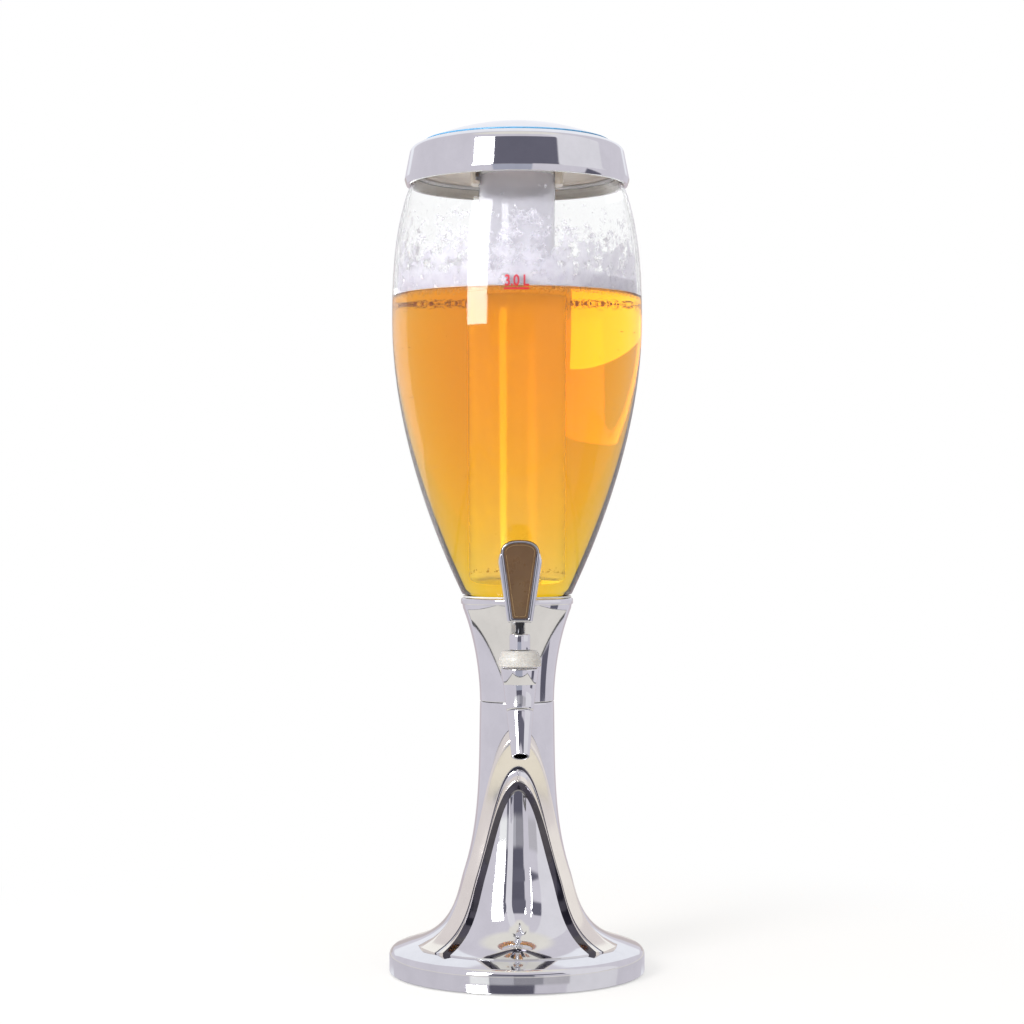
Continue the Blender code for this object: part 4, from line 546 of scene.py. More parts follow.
def addPaintedGlow(tree):
    # painted light on the tube, as emission
    height = heightIn(tree, objectPlace(tree))
    under = mapRange(tree, height, paintedTubeGlow["above"], paintedTubeGlow["below"])
    deep = mapRange(tree, height, paintedTubeGlow["paleAbove"], paintedTubeGlow["paleBelow"])
    depthColour = layerColour(tree, paintedTubeGlow["colour"], paintedTubeGlow["paleColour"], deep)
    shader = tree.nodes["Principled BSDF"]
    plug(tree, layerColour(tree, flat(0.0), depthColour, under), shader.inputs["Emission Color"])
    shader.inputs["Emission Strength"].default_value = paintedTubeGlow["strength"]


finish = {name: newFinish(name, *look) for name, look in finishLooks.items()}
finish.update({name: buildFilm(name) for name in films})
addAbsorption(finish["beer"].node_tree)
addPaintedGlow(finish["frostedTube"].node_tree)
print("finishes made:", len(finish))


# Pedestal

pedestal = {
    "footRadius": 0.0865, "edgeHeight": 0.0153, "edgeRounding": 0.005, "toeRounding": 0.0006,
    "flareFoot": (0.0721, 0.0203), "footLean": -72.6, "footPull": 0.66,
    "knee": (0.0360, 0.0684), "kneeLean": -18.0,
    "top": (0.0251, 0.183), "topLean": -1.5, "topRounding": 0.0006,
    "wall": 0.0025, "underside": 0.0008, "steps": 60, "sides": 224, "sharpAngle": 28.0,
    "ledge": 0.1665, "ledgeReach": 0.0015, "ledgeFoot": 0.156, "hollowTop": 0.150,
}

# Each contour of the stepped front: crown's height, half angle in degrees, step off the flare, toe's radius.
# The stepped front runs from the light panel in the middle out to the flare.
steppedFront = {
    "contours": (
        (0.1246, 38.6, 0.0030, 0.0727),    # edge of the middle panel
        (0.1318, 43.0, 0.0074, 0.0740),    # inner crest
        (0.1392, 48.5, 0.0024, 0.0728),    # inner foot
        (0.1608, 62.0, 0.0056, 0.0729),    # outer crest
        (0.1684, 73.0, -0.0002, 0.0698),   # outer foot
    ),
    # rings below each number take this finish: 0 plain chrome, 1 painted dark reflection, 2 painted cream
    # reflection
    "ringLooks": ((6, 1), (11, 2), (15, 0), (17, 1), (34, 2), (35, 1), (99, 0)),
    "cornerShare": 0.16, "cornerSteps": 5, "flatSteps": 4, "lastFlatSteps": 8,
    "columns": 120, "rows": 64, "edgeAngle": 89.6, "rowCrowding": 1.3, "backing": 0.0012,
    "fluteTop": 0.129, "fluteEnd": 0.0335, "fluteHalfAngle": 11.5, "fluteDepth": 0.0045,
    "fluteTopFade": 0.008, "fluteEndFade": 0.020,
}


def flareOutline(count):
    knee, kneeLean = pedestal["knee"], pedestal["kneeLean"]
    upper = curveBetween(pedestal["top"], pedestal["topLean"], knee, kneeLean, count)
    foot, pull = pedestal["flareFoot"], pedestal["footPull"]
    return upper + curveBetween(knee, kneeLean, foot, pedestal["footLean"], count, endPull=pull)[1:]


def footOutline(count):
    corner = (pedestal["footRadius"], pedestal["edgeHeight"])
    below = (pedestal["footRadius"], 0.0)
    arc = roundedCorner(pedestal["flareFoot"], corner, below, pedestal["edgeRounding"], count)
    toe = (pedestal["footRadius"], pedestal["underside"])
    return arc + roundedCorner(arc[-1], toe, (0.0, toe[1]), pedestal["toeRounding"], 4)


def roundedContours():
    # the path of contours with its corners turned into short curves
    path = [Vector(contour) for contour in steppedFront["contours"]]
    rounded = [path[0]]
    for before, corner, after in zip(path, path[1:], path[2:]):
        start = corner.lerp(before, steppedFront["cornerShare"])
        end = corner.lerp(after, steppedFront["cornerShare"])
        rounded += [rounded[-1].lerp(start, t) for t in evenSteps(0.0, 1.0, steppedFront["flatSteps"])[1:]]
        for t in evenSteps(0.0, 1.0, steppedFront["cornerSteps"])[1:]:
            rounded.append(start.lerp(corner, t).lerp(corner.lerp(end, t), t))
    rounded += [rounded[-1].lerp(path[-1], t) for t in evenSteps(0.0, 1.0, steppedFront["lastFlatSteps"])[1:]]
    backing = Vector((0.0, 0.0, steppedFront["backing"], steppedFront["backing"]))
    return rounded + [path[-1] - backing]


def fluteSink(angle, height):
    across = angle / math.radians(steppedFront["fluteHalfAngle"])
    fromTop = 1 - (steppedFront["fluteTop"] - height) / steppedFront["fluteTopFade"]
    fromEnd = 1 - (height - steppedFront["fluteEnd"]) / steppedFront["fluteEndFade"]
    along = max(fromTop, fromEnd, 0.0)
    return steppedFront["fluteDepth"] * max(1 - across ** 2 - along ** 2, 0.0)


def addSteppedFront(bm):
    # one loft: the panel's grid, then ring after ring down the steps to a backing face inside the flare
    fineSteps = pedestal["steps"] * 4
    flare = flareOutline(fineSteps)
    lowerFlare = flare[fineSteps:]
    contours = roundedContours()
    edgeAngle, columns, rows = steppedFront["edgeAngle"], steppedFront["columns"], steppedFront["rows"]
    shares = [math.sin(math.radians(angle)) for angle in evenSteps(-edgeAngle, edgeAngle, columns)]
    crowding = steppedFront["rowCrowding"]
    rowShares = [math.sin(math.radians(angle)) ** crowding for angle in evenSteps(0.0, 90.0, rows)]
    rows += 1     # the loft starts with one more row, at the top of the disc's edge

    def spot(column, row, contour, sunk):
        crown, halfAngle, step, toe = contour
        toeHeight = heightAt(lowerFlare, toe - step)
        angle = math.radians(halfAngle) * shares[column]
        span = (crown - toeHeight) * math.sqrt(1 - shares[column] ** 2)
        height = toeHeight + span * rowShares[max(row - 1, 0)]
        radius = min(radiusAt(flare, height) + step, toe)
        if sunk:
            radius -= fluteSink(angle, height)
        if row == 0:
            height = pedestal["edgeHeight"]
        return (radius * math.sin(angle), -radius * math.cos(angle), height)

    grids = []
    for number, contour in enumerate(contours):
        whole = number in (0, len(contours) - 1)
        grids.append({
            (column, row): bm.verts.new(spot(column, row, contour, number == 0))
            for column in range(columns + 1) for row in range(rows + 1)
            if whole or column in (0, columns) or row == rows
        })
    for grid in (grids[0], grids[-1]):
        for column in range(columns):
            for row in range(rows):
                corners = ((column, row), (column + 1, row), (column + 1, row + 1), (column, row + 1))
                bm.faces.new([grid[corner] for corner in corners])
    border = [(0, row) for row in range(rows)] + [(column, rows) for column in range(columns)]
    border += [(columns, row) for row in range(rows, -1, -1)]
    for number, (near, far) in enumerate(zip(grids, grids[1:])):
        for here, ahead in zip(border, border[1:]):
            face = bm.faces.new((near[here], near[ahead], far[ahead], far[here]))
            # finishes 1 and 2 are painted reflections: dark lines and cream bands on the steps
            face.material_index = next(look for end, look in steppedFront["ringLooks"] if number < end)
    underside = [grids[0][column, 0] for column in range(columns + 1)]
    underside += [grid[columns, 0] for grid in grids[1:-1]]
    underside += [grids[-1][column, 0] for column in range(columns, -1, -1)]
    underside += [grid[0, 0] for grid in grids[-2:0:-1]]
    bm.faces.new(underside)


def makePedestal():
    top, wall, ledge = pedestal["top"], pedestal["wall"], pedestal["ledge"]
    flare = flareOutline(pedestal["steps"])[3:]      # without the points that the rounded edge replaces
    bore = (top[0] - wall, top[1])
    edge = roundedCorner(bore, top, flare[0], pedestal["topRounding"], 4)
    edge.append(tuple(Vector(edge[-1]).lerp(Vector(flare[0]), 0.1)))
    outer = edge + flare + footOutline(10)
    hollow = insetOutline(flareOutline(24) + footOutline(4), wall)
    hollow = [point for point in hollow if pedestal["underside"] < point[1] < pedestal["hollowTop"]]
    hollow.append((hollow[-1][0], pedestal["underside"]))
    ledgeRadius = bore[0] - pedestal["ledgeReach"]
    inner = [bore, (bore[0], ledge), (ledgeRadius, ledge), (ledgeRadius, pedestal["ledgeFoot"])]
    bm = bmesh.new()
    addTurned(bm, outer + (inner + hollow)[::-1], pedestal["sides"])
    addSteppedFront(bm)
    # the dark and the cream chrome are painted reflections on the steps
    looks = ("chromePlating", "paintedDarkReflectionChrome", "paintedCreamReflectionChrome")
    addPiece("pedestalPlating", bm, looks, "pedestal", "chrome_plating", "pedestal_shell",
             sharpAngle=pedestal["sharpAngle"])


makePedestal()
print("pedestal made")


# Stem collar, vessel, beer and foam

stem = {
    "seam": 0.1833, "seamRadius": 0.0251, "seamRounding": 0.0006, "footLean": 0.7, "mouthRadius": 0.0372,
    "mouthLean": 22.0, "mouthDrop": 0.0056, "top": 0.2530, "lipReach": 0.0008, "lipHeight": 0.0042,
    "lipCorners": ((0.0012, 8), (0.0009, 6)), "wall": 0.0025, "floor": 0.003, "spigotLength": 0.021,
    "spigotRadius": 0.0184, "lugRadius": 0.0207, "lugThickness": 0.0052, "lugHalfAngle": 13.0,
    "lugAngles": (90.0, 210.0, 330.0), "sides": 192,
}

vessel = {
    "wall": 0.0025, "floor": 0.1895, "footRounding": 0.003, "shoulderRadius": 0.0372, "shoulder": 0.2547,
    "shoulderLift": 0.0011, "shoulderLean": 25.7, "bellyRadius": 0.0847, "belly": 0.4405,
    "rimRadius": 0.0731, "rim": 0.5308, "rimLean": -20.0, "mouthRadius": 0.0705, "mouth": 0.5385,
    "neckRadius": 0.0343, "neckGap": 0.0004, "steps": 36, "sides": 192,
}

beer = {
    "level": 0.4556, "bite": 0.0021, "meniscus": 0.0012, "sides": 160,
    # the curve up to the wall: distance back from it and rise, as shares of the meniscus
    "meniscusCurve": ((3.0, 0.0), (1.5, 0.15), (0.5, 0.5)),
}

tubeSizes = {
    "topRadius": 0.0260, "endRadius": 0.0252, "top": 0.5389, "end": 0.2680, "wall": 0.002,
    "corners": ((0.0005, 4), (0.005, 12)), "innerCorners": ((0.0005, 4), (0.003, 8)),
    "lugReach": 0.0030, "lugThickness": 0.0022, "lugDrop": 0.0012, "lugHalfAngle": 14.0, "sides": 128,
}


def collarFlare(count):
    mouth = (stem["mouthRadius"], stem["top"] - stem["mouthDrop"])
    return curveBetween(mouth, stem["mouthLean"], (stem["seamRadius"], stem["seam"]), stem["footLean"], count)


def makeStemCollar():
    wall, top, seam = stem["wall"], stem["top"], stem["seam"]
    bore, spigot = stem["mouthRadius"] - wall, stem["spigotRadius"]
    lipTop = (stem["mouthRadius"] + stem["lipReach"], top)
    lipFoot = (lipTop[0], top - stem["lipHeight"])
    flare = collarFlare(48)
    outline = roundedPath([(bore, top), lipTop, lipFoot, (bore, lipFoot[1])], *stem["lipCorners"])
    seamEdge = roundedCorner(flare[-4], flare[-1], (spigot, seam), stem["seamRounding"], 4)
    outline += flare[1:-4] + [tuple(Vector(seamEdge[0]).lerp(Vector(flare[-5]), 0.1))] + seamEdge
    floorTop, spigotEnd = seam + stem["floor"], seam - stem["spigotLength"]
    outline += [(spigot, seam), (spigot, spigotEnd), (spigot - wall, spigotEnd), (spigot - wall, floorTop)]
    lining = [point for point in insetOutline(collarFlare(24), wall) if point[1] > floorTop + wall]
    lining.append((lining[-1][0], floorTop))
    bm = bmesh.new()
    addTurned(bm, outline + lining[::-1] + [(bore, top)], stem["sides"])
    lug = ringOutline(spigot - wall / 2, stem["lugRadius"], spigotEnd, spigotEnd + stem["lugThickness"])
    for angle in stem["lugAngles"]:
        addArcBlock(bm, lug, angle, stem["lugHalfAngle"])
    addPiece("stemPlating", bm, "chromePlating", "tower", "chrome_plating", "stem_collar")


def vesselBelly(count):
    rim = (vessel["rimRadius"], vessel["rim"])
    belly = (vessel["bellyRadius"], vessel["belly"])
    shoulder = (vessel["shoulderRadius"], vessel["shoulder"] + vessel["shoulderLift"])
    upper = curveBetween(rim, vessel["rimLean"], belly, 0.0, count)
    lower = curveBetween(belly, 0.0, shoulder, vessel["shoulderLean"], 2 * count)
    return [(vessel["mouthRadius"], vessel["mouth"])] + upper + lower[1:]


def vesselNeck(count):
    lining = insetOutline(collarFlare(count), stem["wall"] + vessel["neckGap"])
    straight = [point for point in lining if point[1] > vessel["floor"] + vessel["footRounding"]]
    return [(vessel["neckRadius"], vessel["shoulder"])] + straight


def withFloor(wall, floor):
    # carries a wall on round its foot and in to the axis
    foot = roundedCorner(wall[-1], (wall[-1][0], floor), (0.0, floor), vessel["footRounding"], 6)
    return wall + foot + [(0.0, floor)]


def vesselLining():
    # the inner face, from the mouth down to the axis
    wall, steps = vessel["wall"], vessel["steps"]
    belly = insetOutline(vesselBelly(steps), wall)
    belly[0] = (belly[0][0], vessel["mouth"])
    neck = [(radius - wall, height) for radius, height in vesselNeck(steps)]
    return withFloor(belly + neck, vessel["floor"] + wall)


def makeVessel():
    outer = withFloor(vesselBelly(vessel["steps"]) + vesselNeck(24), vessel["floor"])[::-1] + vesselLining()
    addTurnedPiece("clearVessel", outer, vessel["sides"], "clearVessel", "tower", "clear_plastic", "vessel",
                   sharpAngle=50.0, closed=False)


def makeBeer():
    # fills the vessel to its mark and bites into the wall a little, so that light passes with no air between
    bite, level, rise = beer["bite"], beer["level"], beer["meniscus"]
    wall = [(radius + bite, height) for radius, height in vesselLining()[:-1] if height < level]
    wall.append((0.0, wall[-1][1] - bite))
    edge = radiusAt(vesselLining()[1:-1], level)
    top = [(0.0, level)] + [(edge - back * rise, level + up * rise) for back, up in beer["meniscusCurve"]]
    top.append((edge + bite, level + rise))
    addTurnedPiece("beerFill", top + wall, beer["sides"], "beer", "tower", "clear_plastic",
                   sharpAngle=60.0, closed=False)


makeStemCollar()
makeVessel()
makeBeer()
print("stem, vessel and beer made")


# Foam ring on the beer, the films on wall and tube, and bubbles

foam = {
    "top": 0.4650, "lift": 0.0008, "wallGap": 0.0008, "wallLumps": 0.0004, "tubeGap": 0.0015,
    "ripple": 0.0015, "dip": 0.006, "topLumps": 0.0012, "sides": 220, "rows": 14, "topRows": 10,
    # each wave of lumps: turns round the ring, upright pitch, start
    "waves": ((7, 310.0, 0.4), (13, 570.0, 1.9), (29, 1300.0, 0.7), (47, 2100.0, 2.6)),
}


def foamLump(angle, height):
    total = 0.0
    for number, (turns, pitch, start) in enumerate(foam["waves"], 1):
        total += math.sin(turns * angle + start) * math.cos(pitch * height + start * turns) / number
    return total / 2


def makeFoam():
    # a thick ring against the wall that dips towards the tube, with a lumpy top
    lining = vesselLining()[1:-1]
    level, sides = beer["level"], foam["sides"]
    inner = tubeSizes["topRadius"] + foam["tubeGap"]
    angles = turnAngles(sides)
    loops = []
    for share in evenSteps(0.0, 1.0, foam["rows"]):
        loops.append([])
        for angle in angles:
            crest = foam["top"] + foam["ripple"] * foamLump(angle, share)
            height = level + foam["lift"] + (crest - level) * share
            lump = abs(foamLump(angle, height)) * foam["wallLumps"]
            loops[-1].append(polar(radiusAt(lining, height) - foam["wallGap"] - lump, angle, height))
    wallTop = loops[-1]
    for share in evenSteps(0.0, 1.0, foam["topRows"])[1:]:
        dip = foam["dip"] * math.sin(math.pi * share / 2)
        loops.append([])
        for angle, edge in zip(angles, wallTop):
            outer = edge.xy.length
            height = edge.z - dip + foam["topLumps"] * foamLump(angle * 2, share * 0.7)
            loops[-1].append(polar(outer + (inner - outer) * share, angle, height))
    loops.append(circle(inner, level + foam["lift"], sides))
    bm = bmesh.new()
    addLoops(bm, loops, caps=False, joined=True)
    addPiece("foamRing", bm, "beerFoam", "tower", "white_translucent", sharpAngle=70.0)


def makeFilm(name, outline, body):
    # a thin closed band that follows an outline
    film = films[name]
    band = thinBand(outline, evenSteps(*film["span"], 30), film["gap"], filmThickness)
    addTurnedPiece(name, band, filmSides, name, body, "white_translucent")


makeFoam()
for filmName in ("foamLacing", "amberEdge"):
    makeFilm(filmName, vesselLining()[1:-1], "tower")

# Each scatter of bubbles: the band of wall it covers (low, high, gap), finish, slot, and the tree's inputs
bubbles = {
    "foamBubbles": (
        (beer["level"] + 0.0015, foam["top"], 0.0012), "beerFoam", "white_translucent",
        {"Density": 90000.0, "Small": 0.0003, "Large": 0.0010, "Seed": 5},
    ),
    "lacingBubbles": (
        (foam["top"] - 0.001, 0.4860, 0.0009), "beerFoam", "white_translucent",
        {"Density": 26000.0, "Small": 0.0002, "Large": 0.0006, "Seed": 11},
    ),
    "levelBubbles": (
        (beer["level"] - 0.0022, beer["level"] + 0.0006, 0.0006), "amberFroth", "clear_plastic",
        {"Density": 800000.0, "Small": 0.00014, "Large": 0.0003, "Seed": 21},
    ),
    "risingBubbles": (
        (0.2700, beer["level"] - 0.004, 0.0016), "amberFroth", "clear_plastic",
        {"Density": 15000.0, "Small": 0.0001, "Large": 0.00026, "Seed": 31},
    ),
}
bubbleDetail = 1      # how often a bubble's ball is subdivided


def newGeometryTree(name, inputs):
    tree = bpy.data.node_groups.new(name, "GeometryNodeTree")
    tree.interface.new_socket(name="Geometry", in_out="INPUT", socket_type="NodeSocketGeometry")
    tree.interface.new_socket(name="Geometry", in_out="OUTPUT", socket_type="NodeSocketGeometry")
    identifiers = {}
    for socketName, kind in inputs:
        socket = tree.interface.new_socket(name=socketName, in_out="INPUT", socket_type="NodeSocket" + kind)
        identifiers[socketName] = socket.identifier
    given, result = tree.nodes.new("NodeGroupInput").outputs, tree.nodes.new("NodeGroupOutput").inputs
    return tree, identifiers, given, result


def buildBubbleTree():
    # bubbles of random size on a surface, each a small ball, kept at the places that the seed gives
    tree, identifiers, given, result = newGeometryTree(
        "wallBubbles",
        [("Density", "Float"), ("Small", "Float"), ("Large", "Float"), ("Seed", "Int"), ("Detail", "Int"),
         ("Material", "Material")],
    )
    scatter = addNode(tree, "GeometryNodeDistributePointsOnFaces", {
        "Mesh": given["Geometry"], "Density": given["Density"], "Seed": given["Seed"],
    })
    ball = addNode(tree, "GeometryNodeMeshIcoSphere", {"Radius": 1.0, "Subdivisions": given["Detail"]})
    smooth = addNode(tree, "GeometryNodeSetShadeSmooth", {"Geometry": ball.outputs["Mesh"]})
    size = addNode(tree, "FunctionNodeRandomValue", {"Seed": given["Seed"]}, data_type="FLOAT")
    mostlySmall = addMath(tree, "POWER", size.outputs[1], 2.0)
    place = addNode(tree, "GeometryNodeInstanceOnPoints", {
        "Points": scatter.outputs["Points"], "Instance": smooth.outputs["Geometry"],
        "Scale": mapRange(tree, mostlySmall, 0.0, 1.0, given["Small"], given["Large"]),
    })
    realise = addNode(tree, "GeometryNodeRealizeInstances", {"Geometry": place.outputs["Instances"]})
    paint = addNode(tree, "GeometryNodeSetMaterial", {
        "Geometry": realise.outputs["Geometry"], "Material": given["Material"],
    })
    plug(tree, paint.outputs["Geometry"], result["Geometry"])
    return tree, identifiers


bubbleTree, bubbleInputs = buildBubbleTree()


def bandMesh(name, low, high, wallGap, sides=96, rows=12):
    # a strip of the vessel's inner face, which bubbles are scattered on
    lining = vesselLining()[1:-1]
    bm = bmesh.new()
    addLoops(bm, [
        circle(radiusAt(lining, height) - wallGap, height, sides) for height in evenSteps(low, high, rows)
    ], caps=False)
    mesh = bpy.data.meshes.new(name)
    bm.to_mesh(mesh)
    bm.free()
    return mesh


def plainMesh(obj):
    # the object as it looks with its modifiers, after which the object is removed
    bpy.context.scene.collection.objects.link(obj)
    bpy.context.view_layer.update()
    mesh = bpy.data.meshes.new_from_object(obj.evaluated_get(bpy.context.evaluated_depsgraph_get()))
    obj.modifiers.clear()
    bpy.data.objects.remove(obj)
    return mesh


def scatterBubbles(name):
    band, look, slotName, settings = bubbles[name]
    holder = bpy.data.objects.new(name + "Source", bandMesh(name + "Band", *band))
    modifier = holder.modifiers.new("bubbles", "NODES")
    modifier.node_group = bubbleTree
    for socketName, value in settings.items():
        modifier[bubbleInputs[socketName]] = value
    modifier[bubbleInputs["Detail"]] = bubbleDetail
    modifier[bubbleInputs["Material"]] = finish[look]
    mesh = plainMesh(holder)
    mesh.name = name
    mesh.materials.clear()
    addPiece(name, mesh, look, "tower", slotName)


for bubbleName in bubbles:
    scatterBubbles(bubbleName)
print("foam and bubbles made")


# Level mark: plain lettering and a line on the vessel's front

levelMark = {
    "words": "3.0 L", "size": 0.0100, "weight": 0.00026, "narrow": 0.80, "across": -0.0028, "foot": 0.4566,
    "line": 0.4541, "lineHalfWidth": 0.0082, "lineHeight": 0.0013, "lift": 0.00008, "thickness": 0.00008,
}


def wrapOnVessel(bm):
    # bends flat work onto the vessel: x becomes the angle and z stays
    outer = vesselBelly(vessel["steps"])
    for vertex in bm.verts:
        x, depth, height = vertex.co
        radius = radiusAt(outer, height) + levelMark["lift"] + depth
        angle = x / radius
        vertex.co = (radius * math.sin(angle), -radius * math.cos(angle), height)


def makeLevelMark():
    words = bpy.data.curves.new("levelWords", "FONT")
    words.body = levelMark["words"]
    words.size = levelMark["size"]
    words.align_x = "CENTER"
    words.extrude = levelMark["thickness"] / 2
    words.resolution_u = 6
    words.offset = levelMark["weight"]
    mesh = plainMesh(bpy.data.objects.new("levelWords", words))
    bm = bmesh.new()
    bm.from_mesh(mesh)
    bpy.data.meshes.remove(mesh)
    middle = levelMark["across"]
    for vertex in bm.verts:
        x, y, z = vertex.co
        vertex.co = (x * levelMark["narrow"] + middle, z, levelMark["foot"] + y)
    half, low = levelMark["lineHalfWidth"], levelMark["line"]
    high, depth = low + levelMark["lineHeight"], levelMark["thickness"] / 2
    steps = evenSteps(middle - half, middle + half, 24)
    addLoops(bm, [[(x, -depth, low), (x, depth, low), (x, depth, high), (x, -depth, high)] for x in steps])
    wrapOnVessel(bm)
    addPiece("levelMark", bm, "redInk", "tower", "clear_plastic")


makeLevelMark()
print("level mark made")


# Lid with its liner and seal, and the ice tube

lid = {
    "edge": 0.5322, "edgeRadius": 0.0750, "edgeRounding": 0.0006, "skirt": 0.5362, "skirtRadius": 0.0763,
    "skirtRounding": 0.0015, "shoulder": 0.5572, "shoulderRadius": 0.0722, "shoulderRounding": 0.006,
    "top": 0.5750, "wall": 0.0022, "sides": 224, "domeGap": 0.0003,
    "ringRadius": 0.0620, "ringWidth": 0.0008, "ringFlatness": 0.6,
    "liningTop": 0.5406, "liningBottom": 0.5330, "liningGap": 0.00005, "liningThickness": 0.0007,
}

liner = {
    "bottom": 0.5410, "thickness": 0.0024, "rim": 0.0085, "rimThickness": 0.0022, "step": 0.0012,
    "stepWidth": 0.006, "rounding": 0.0004, "nestGap": 0.0004, "hookWall": 0.0020, "hookShelf": 0.0024,
    "hookHalfAngle": 16.0, "hookRoof": 0.5420, "stopTurn": -16.5, "stopHalfAngle": 1.5, "stopDrop": 0.0005,
}


def lidOutline(count):
    sag = lid["top"] - lid["shoulder"]
    arcRadius = (lid["shoulderRadius"] ** 2 + sag ** 2) / (2 * sag)
    half = math.asin(lid["shoulderRadius"] / arcRadius)
    dome = [
        (arcRadius * math.sin(angle), lid["top"] - arcRadius * (1 - math.cos(angle)))
        for angle in evenSteps(0.0, half, count)
    ]
    skirt = (lid["skirtRadius"], lid["skirt"])
    corner = roundedCorner(dome[-2], dome[-1], skirt, lid["shoulderRounding"], 12)
    corner += [tuple(Vector(corner[-1]).lerp(Vector(skirt), share)) for share in (0.04, 0.3, 0.6, 0.88)]
    dome = [point for point in dome if point[0] < corner[0][0] - lid["domeGap"]]
    edge = (lid["edgeRadius"], lid["edge"])
    return dome + corner + roundedCorner(corner[-1], skirt, edge, lid["skirtRounding"], 6) + [edge]


def lidLining():
    lining = insetOutline(lidOutline(30), lid["wall"])
    lining[0] = (0.0, lining[0][1])
    lining[-1] = (lining[-1][0], lid["edge"])
    return lining


def makeLidShell():
    outer, lining = lidOutline(60), lidLining()
    edge = roundedCorner(outer[-2], outer[-1], lining[-1], lid["edgeRounding"], 5)
    shell = outer[:-1] + edge + lining[::-1]
    addTurnedPiece("lidPlating", shell, lid["sides"], "chromePlating", "lid", "chrome_plating", "lid_shell",
                   closed=False)


def makeLidTrim():
    # the skirt's ivory inner face, and the pale ring let into the dome
    heights = evenSteps(lid["liningBottom"], lid["liningTop"], 12)
    band = thinBand(lidLining()[2:], heights, lid["liningGap"], lid["liningThickness"])
    addTurnedPiece("skirtLining", band, lid["sides"], "ivoryLiner", "lid", "ivory_plastic")
    radius, width = lid["ringRadius"], lid["ringWidth"]
    height = heightAt([point for point in lidOutline(60) if point[1] > lid["shoulder"]], radius)
    ring = [
        (radius + width * math.cos(angle), height + width * lid["ringFlatness"] * math.sin(angle))
        for angle in evenSteps(0.0, math.tau, 12)[:-1]
    ]
    addTurnedPiece("domeRing", ring[::-1], lid["sides"], "paleBlueRing", "lid", "chrome_plating")


def makeLiner():
    # a plate with a stepped rim, and hooks with a stop for the tube's two lugs
    level, gap, step, rounding = liner["bottom"], liner["nestGap"], liner["step"], liner["rounding"]
    rimTop = level + liner["rim"]
    rimRadius = radiusAt(lidLining()[2:], rimTop) - gap
    rimInner, stepRadius = rimRadius - liner["rimThickness"], rimRadius - liner["stepWidth"]
    plateBottom = level + step
    plateTop = plateBottom + liner["thickness"]
    lugRadius = tubeSizes["topRadius"] + tubeSizes["lugReach"]
    hookRadius = lugRadius + gap + liner["hookWall"]
    hubRadius = hookRadius + step
    path = [
        (0.0, plateTop), (rimInner, plateTop), (rimInner, rimTop), (rimRadius, rimTop), (rimRadius, level),
        (stepRadius, level), (stepRadius - step, plateBottom), (hubRadius + step, plateBottom),
        (hubRadius, level), (0.0, level),
    ]
    corners = roundedPath(path, *[(rounding, 4)] * (len(path) - 2))
    bm = bmesh.new()
    addTurned(bm, path[:1] + corners + path[-1:], lid["sides"], closed=False)
    shelfTop = tubeSizes["top"] - tubeSizes["lugDrop"] - tubeSizes["lugThickness"] - seatGap
    shelfBottom = shelfTop - liner["hookShelf"]
    inner, roof = tubeSizes["topRadius"] + gap, liner["hookRoof"]
    hook = [
        (hookRadius, roof), (hookRadius, shelfBottom + rounding), (hookRadius - rounding, shelfBottom),
        (inner, shelfBottom), (inner, shelfTop), (lugRadius + gap, shelfTop), (lugRadius + gap, roof),
    ]
    stopOuter, stopTop = hookRadius - liner["hookWall"] / 3, roof - liner["stopDrop"]
    stop = ringOutline(inner + seatGap, stopOuter, shelfBottom + seatGap, stopTop)
    for turn in (0.0, 180.0):
        addArcBlock(bm, hook, turn, liner["hookHalfAngle"])
        addArcBlock(bm, stop, turn + liner["stopTurn"], liner["stopHalfAngle"], 3)
    addPiece("lidLiner", bm, "ivoryLiner", "lid", "ivory_plastic", "lid_liner")


def makeIceTube():
    top = (tubeSizes["topRadius"], tubeSizes["top"])
    foot = (tubeSizes["endRadius"], tubeSizes["end"])
    wall = tubeSizes["wall"]
    floor = foot[1] + wall
    innerTop, innerFoot = (top[0] - wall, top[1]), (foot[0] - wall, floor)
    outer = roundedPath([innerTop, top, foot, (0.0, foot[1])], *tubeSizes["corners"]) + [(0.0, foot[1])]
    lining = roundedPath([top, innerTop, innerFoot, (0.0, floor)], *tubeSizes["innerCorners"])
    lining += [(0.0, floor)]
    bm = bmesh.new()
    addTurned(bm, outer[::-1] + lining, tubeSizes["sides"], closed=False)
    lugTop, lugRadius = top[1] - tubeSizes["lugDrop"], top[0] + tubeSizes["lugReach"]
    lug = ringOutline(top[0] - wall / 2, lugRadius, lugTop - tubeSizes["lugThickness"], lugTop)
    for turn in (0.0, 180.0):
        addArcBlock(bm, lug, turn, tubeSizes["lugHalfAngle"])
    addPiece("frostedTube", bm, "frostedTube", "ice_tube_body", "white_translucent", "ice_tube")
    makeFilm("tubeFroth", [foot, top], "ice_tube_body")


# Each seal again with round edges and more sides: CAD node, body, inner and outer radius, rounding
seals = {
    "neckGasket": ("neck_gasket", "tower", 0.0348, 0.0368, 0.00025),
    "lidSeal": ("lid_seal", "lid", 0.0671, 0.0705, 0.0006),
    "tubeSeal": ("tube_seal", "ice_tube_body", 0.0240, 0.0260, 0.0004),
}


def makeSeal(name):
    node, body, inner, outer, rounding = seals[name]
    low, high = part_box(node)
    outline = ringOutline(inner, outer, low.z, high.z, rounding, 4)
    addTurnedPiece(name, outline, 160, "clearSilicone", body, "clear_silicone", node)


makeLidShell()
makeLiner()
makeLidTrim()
makeIceTube()
for sealName in seals:
    makeSeal(sealName)
print("lid and ice tube made")


# Tap

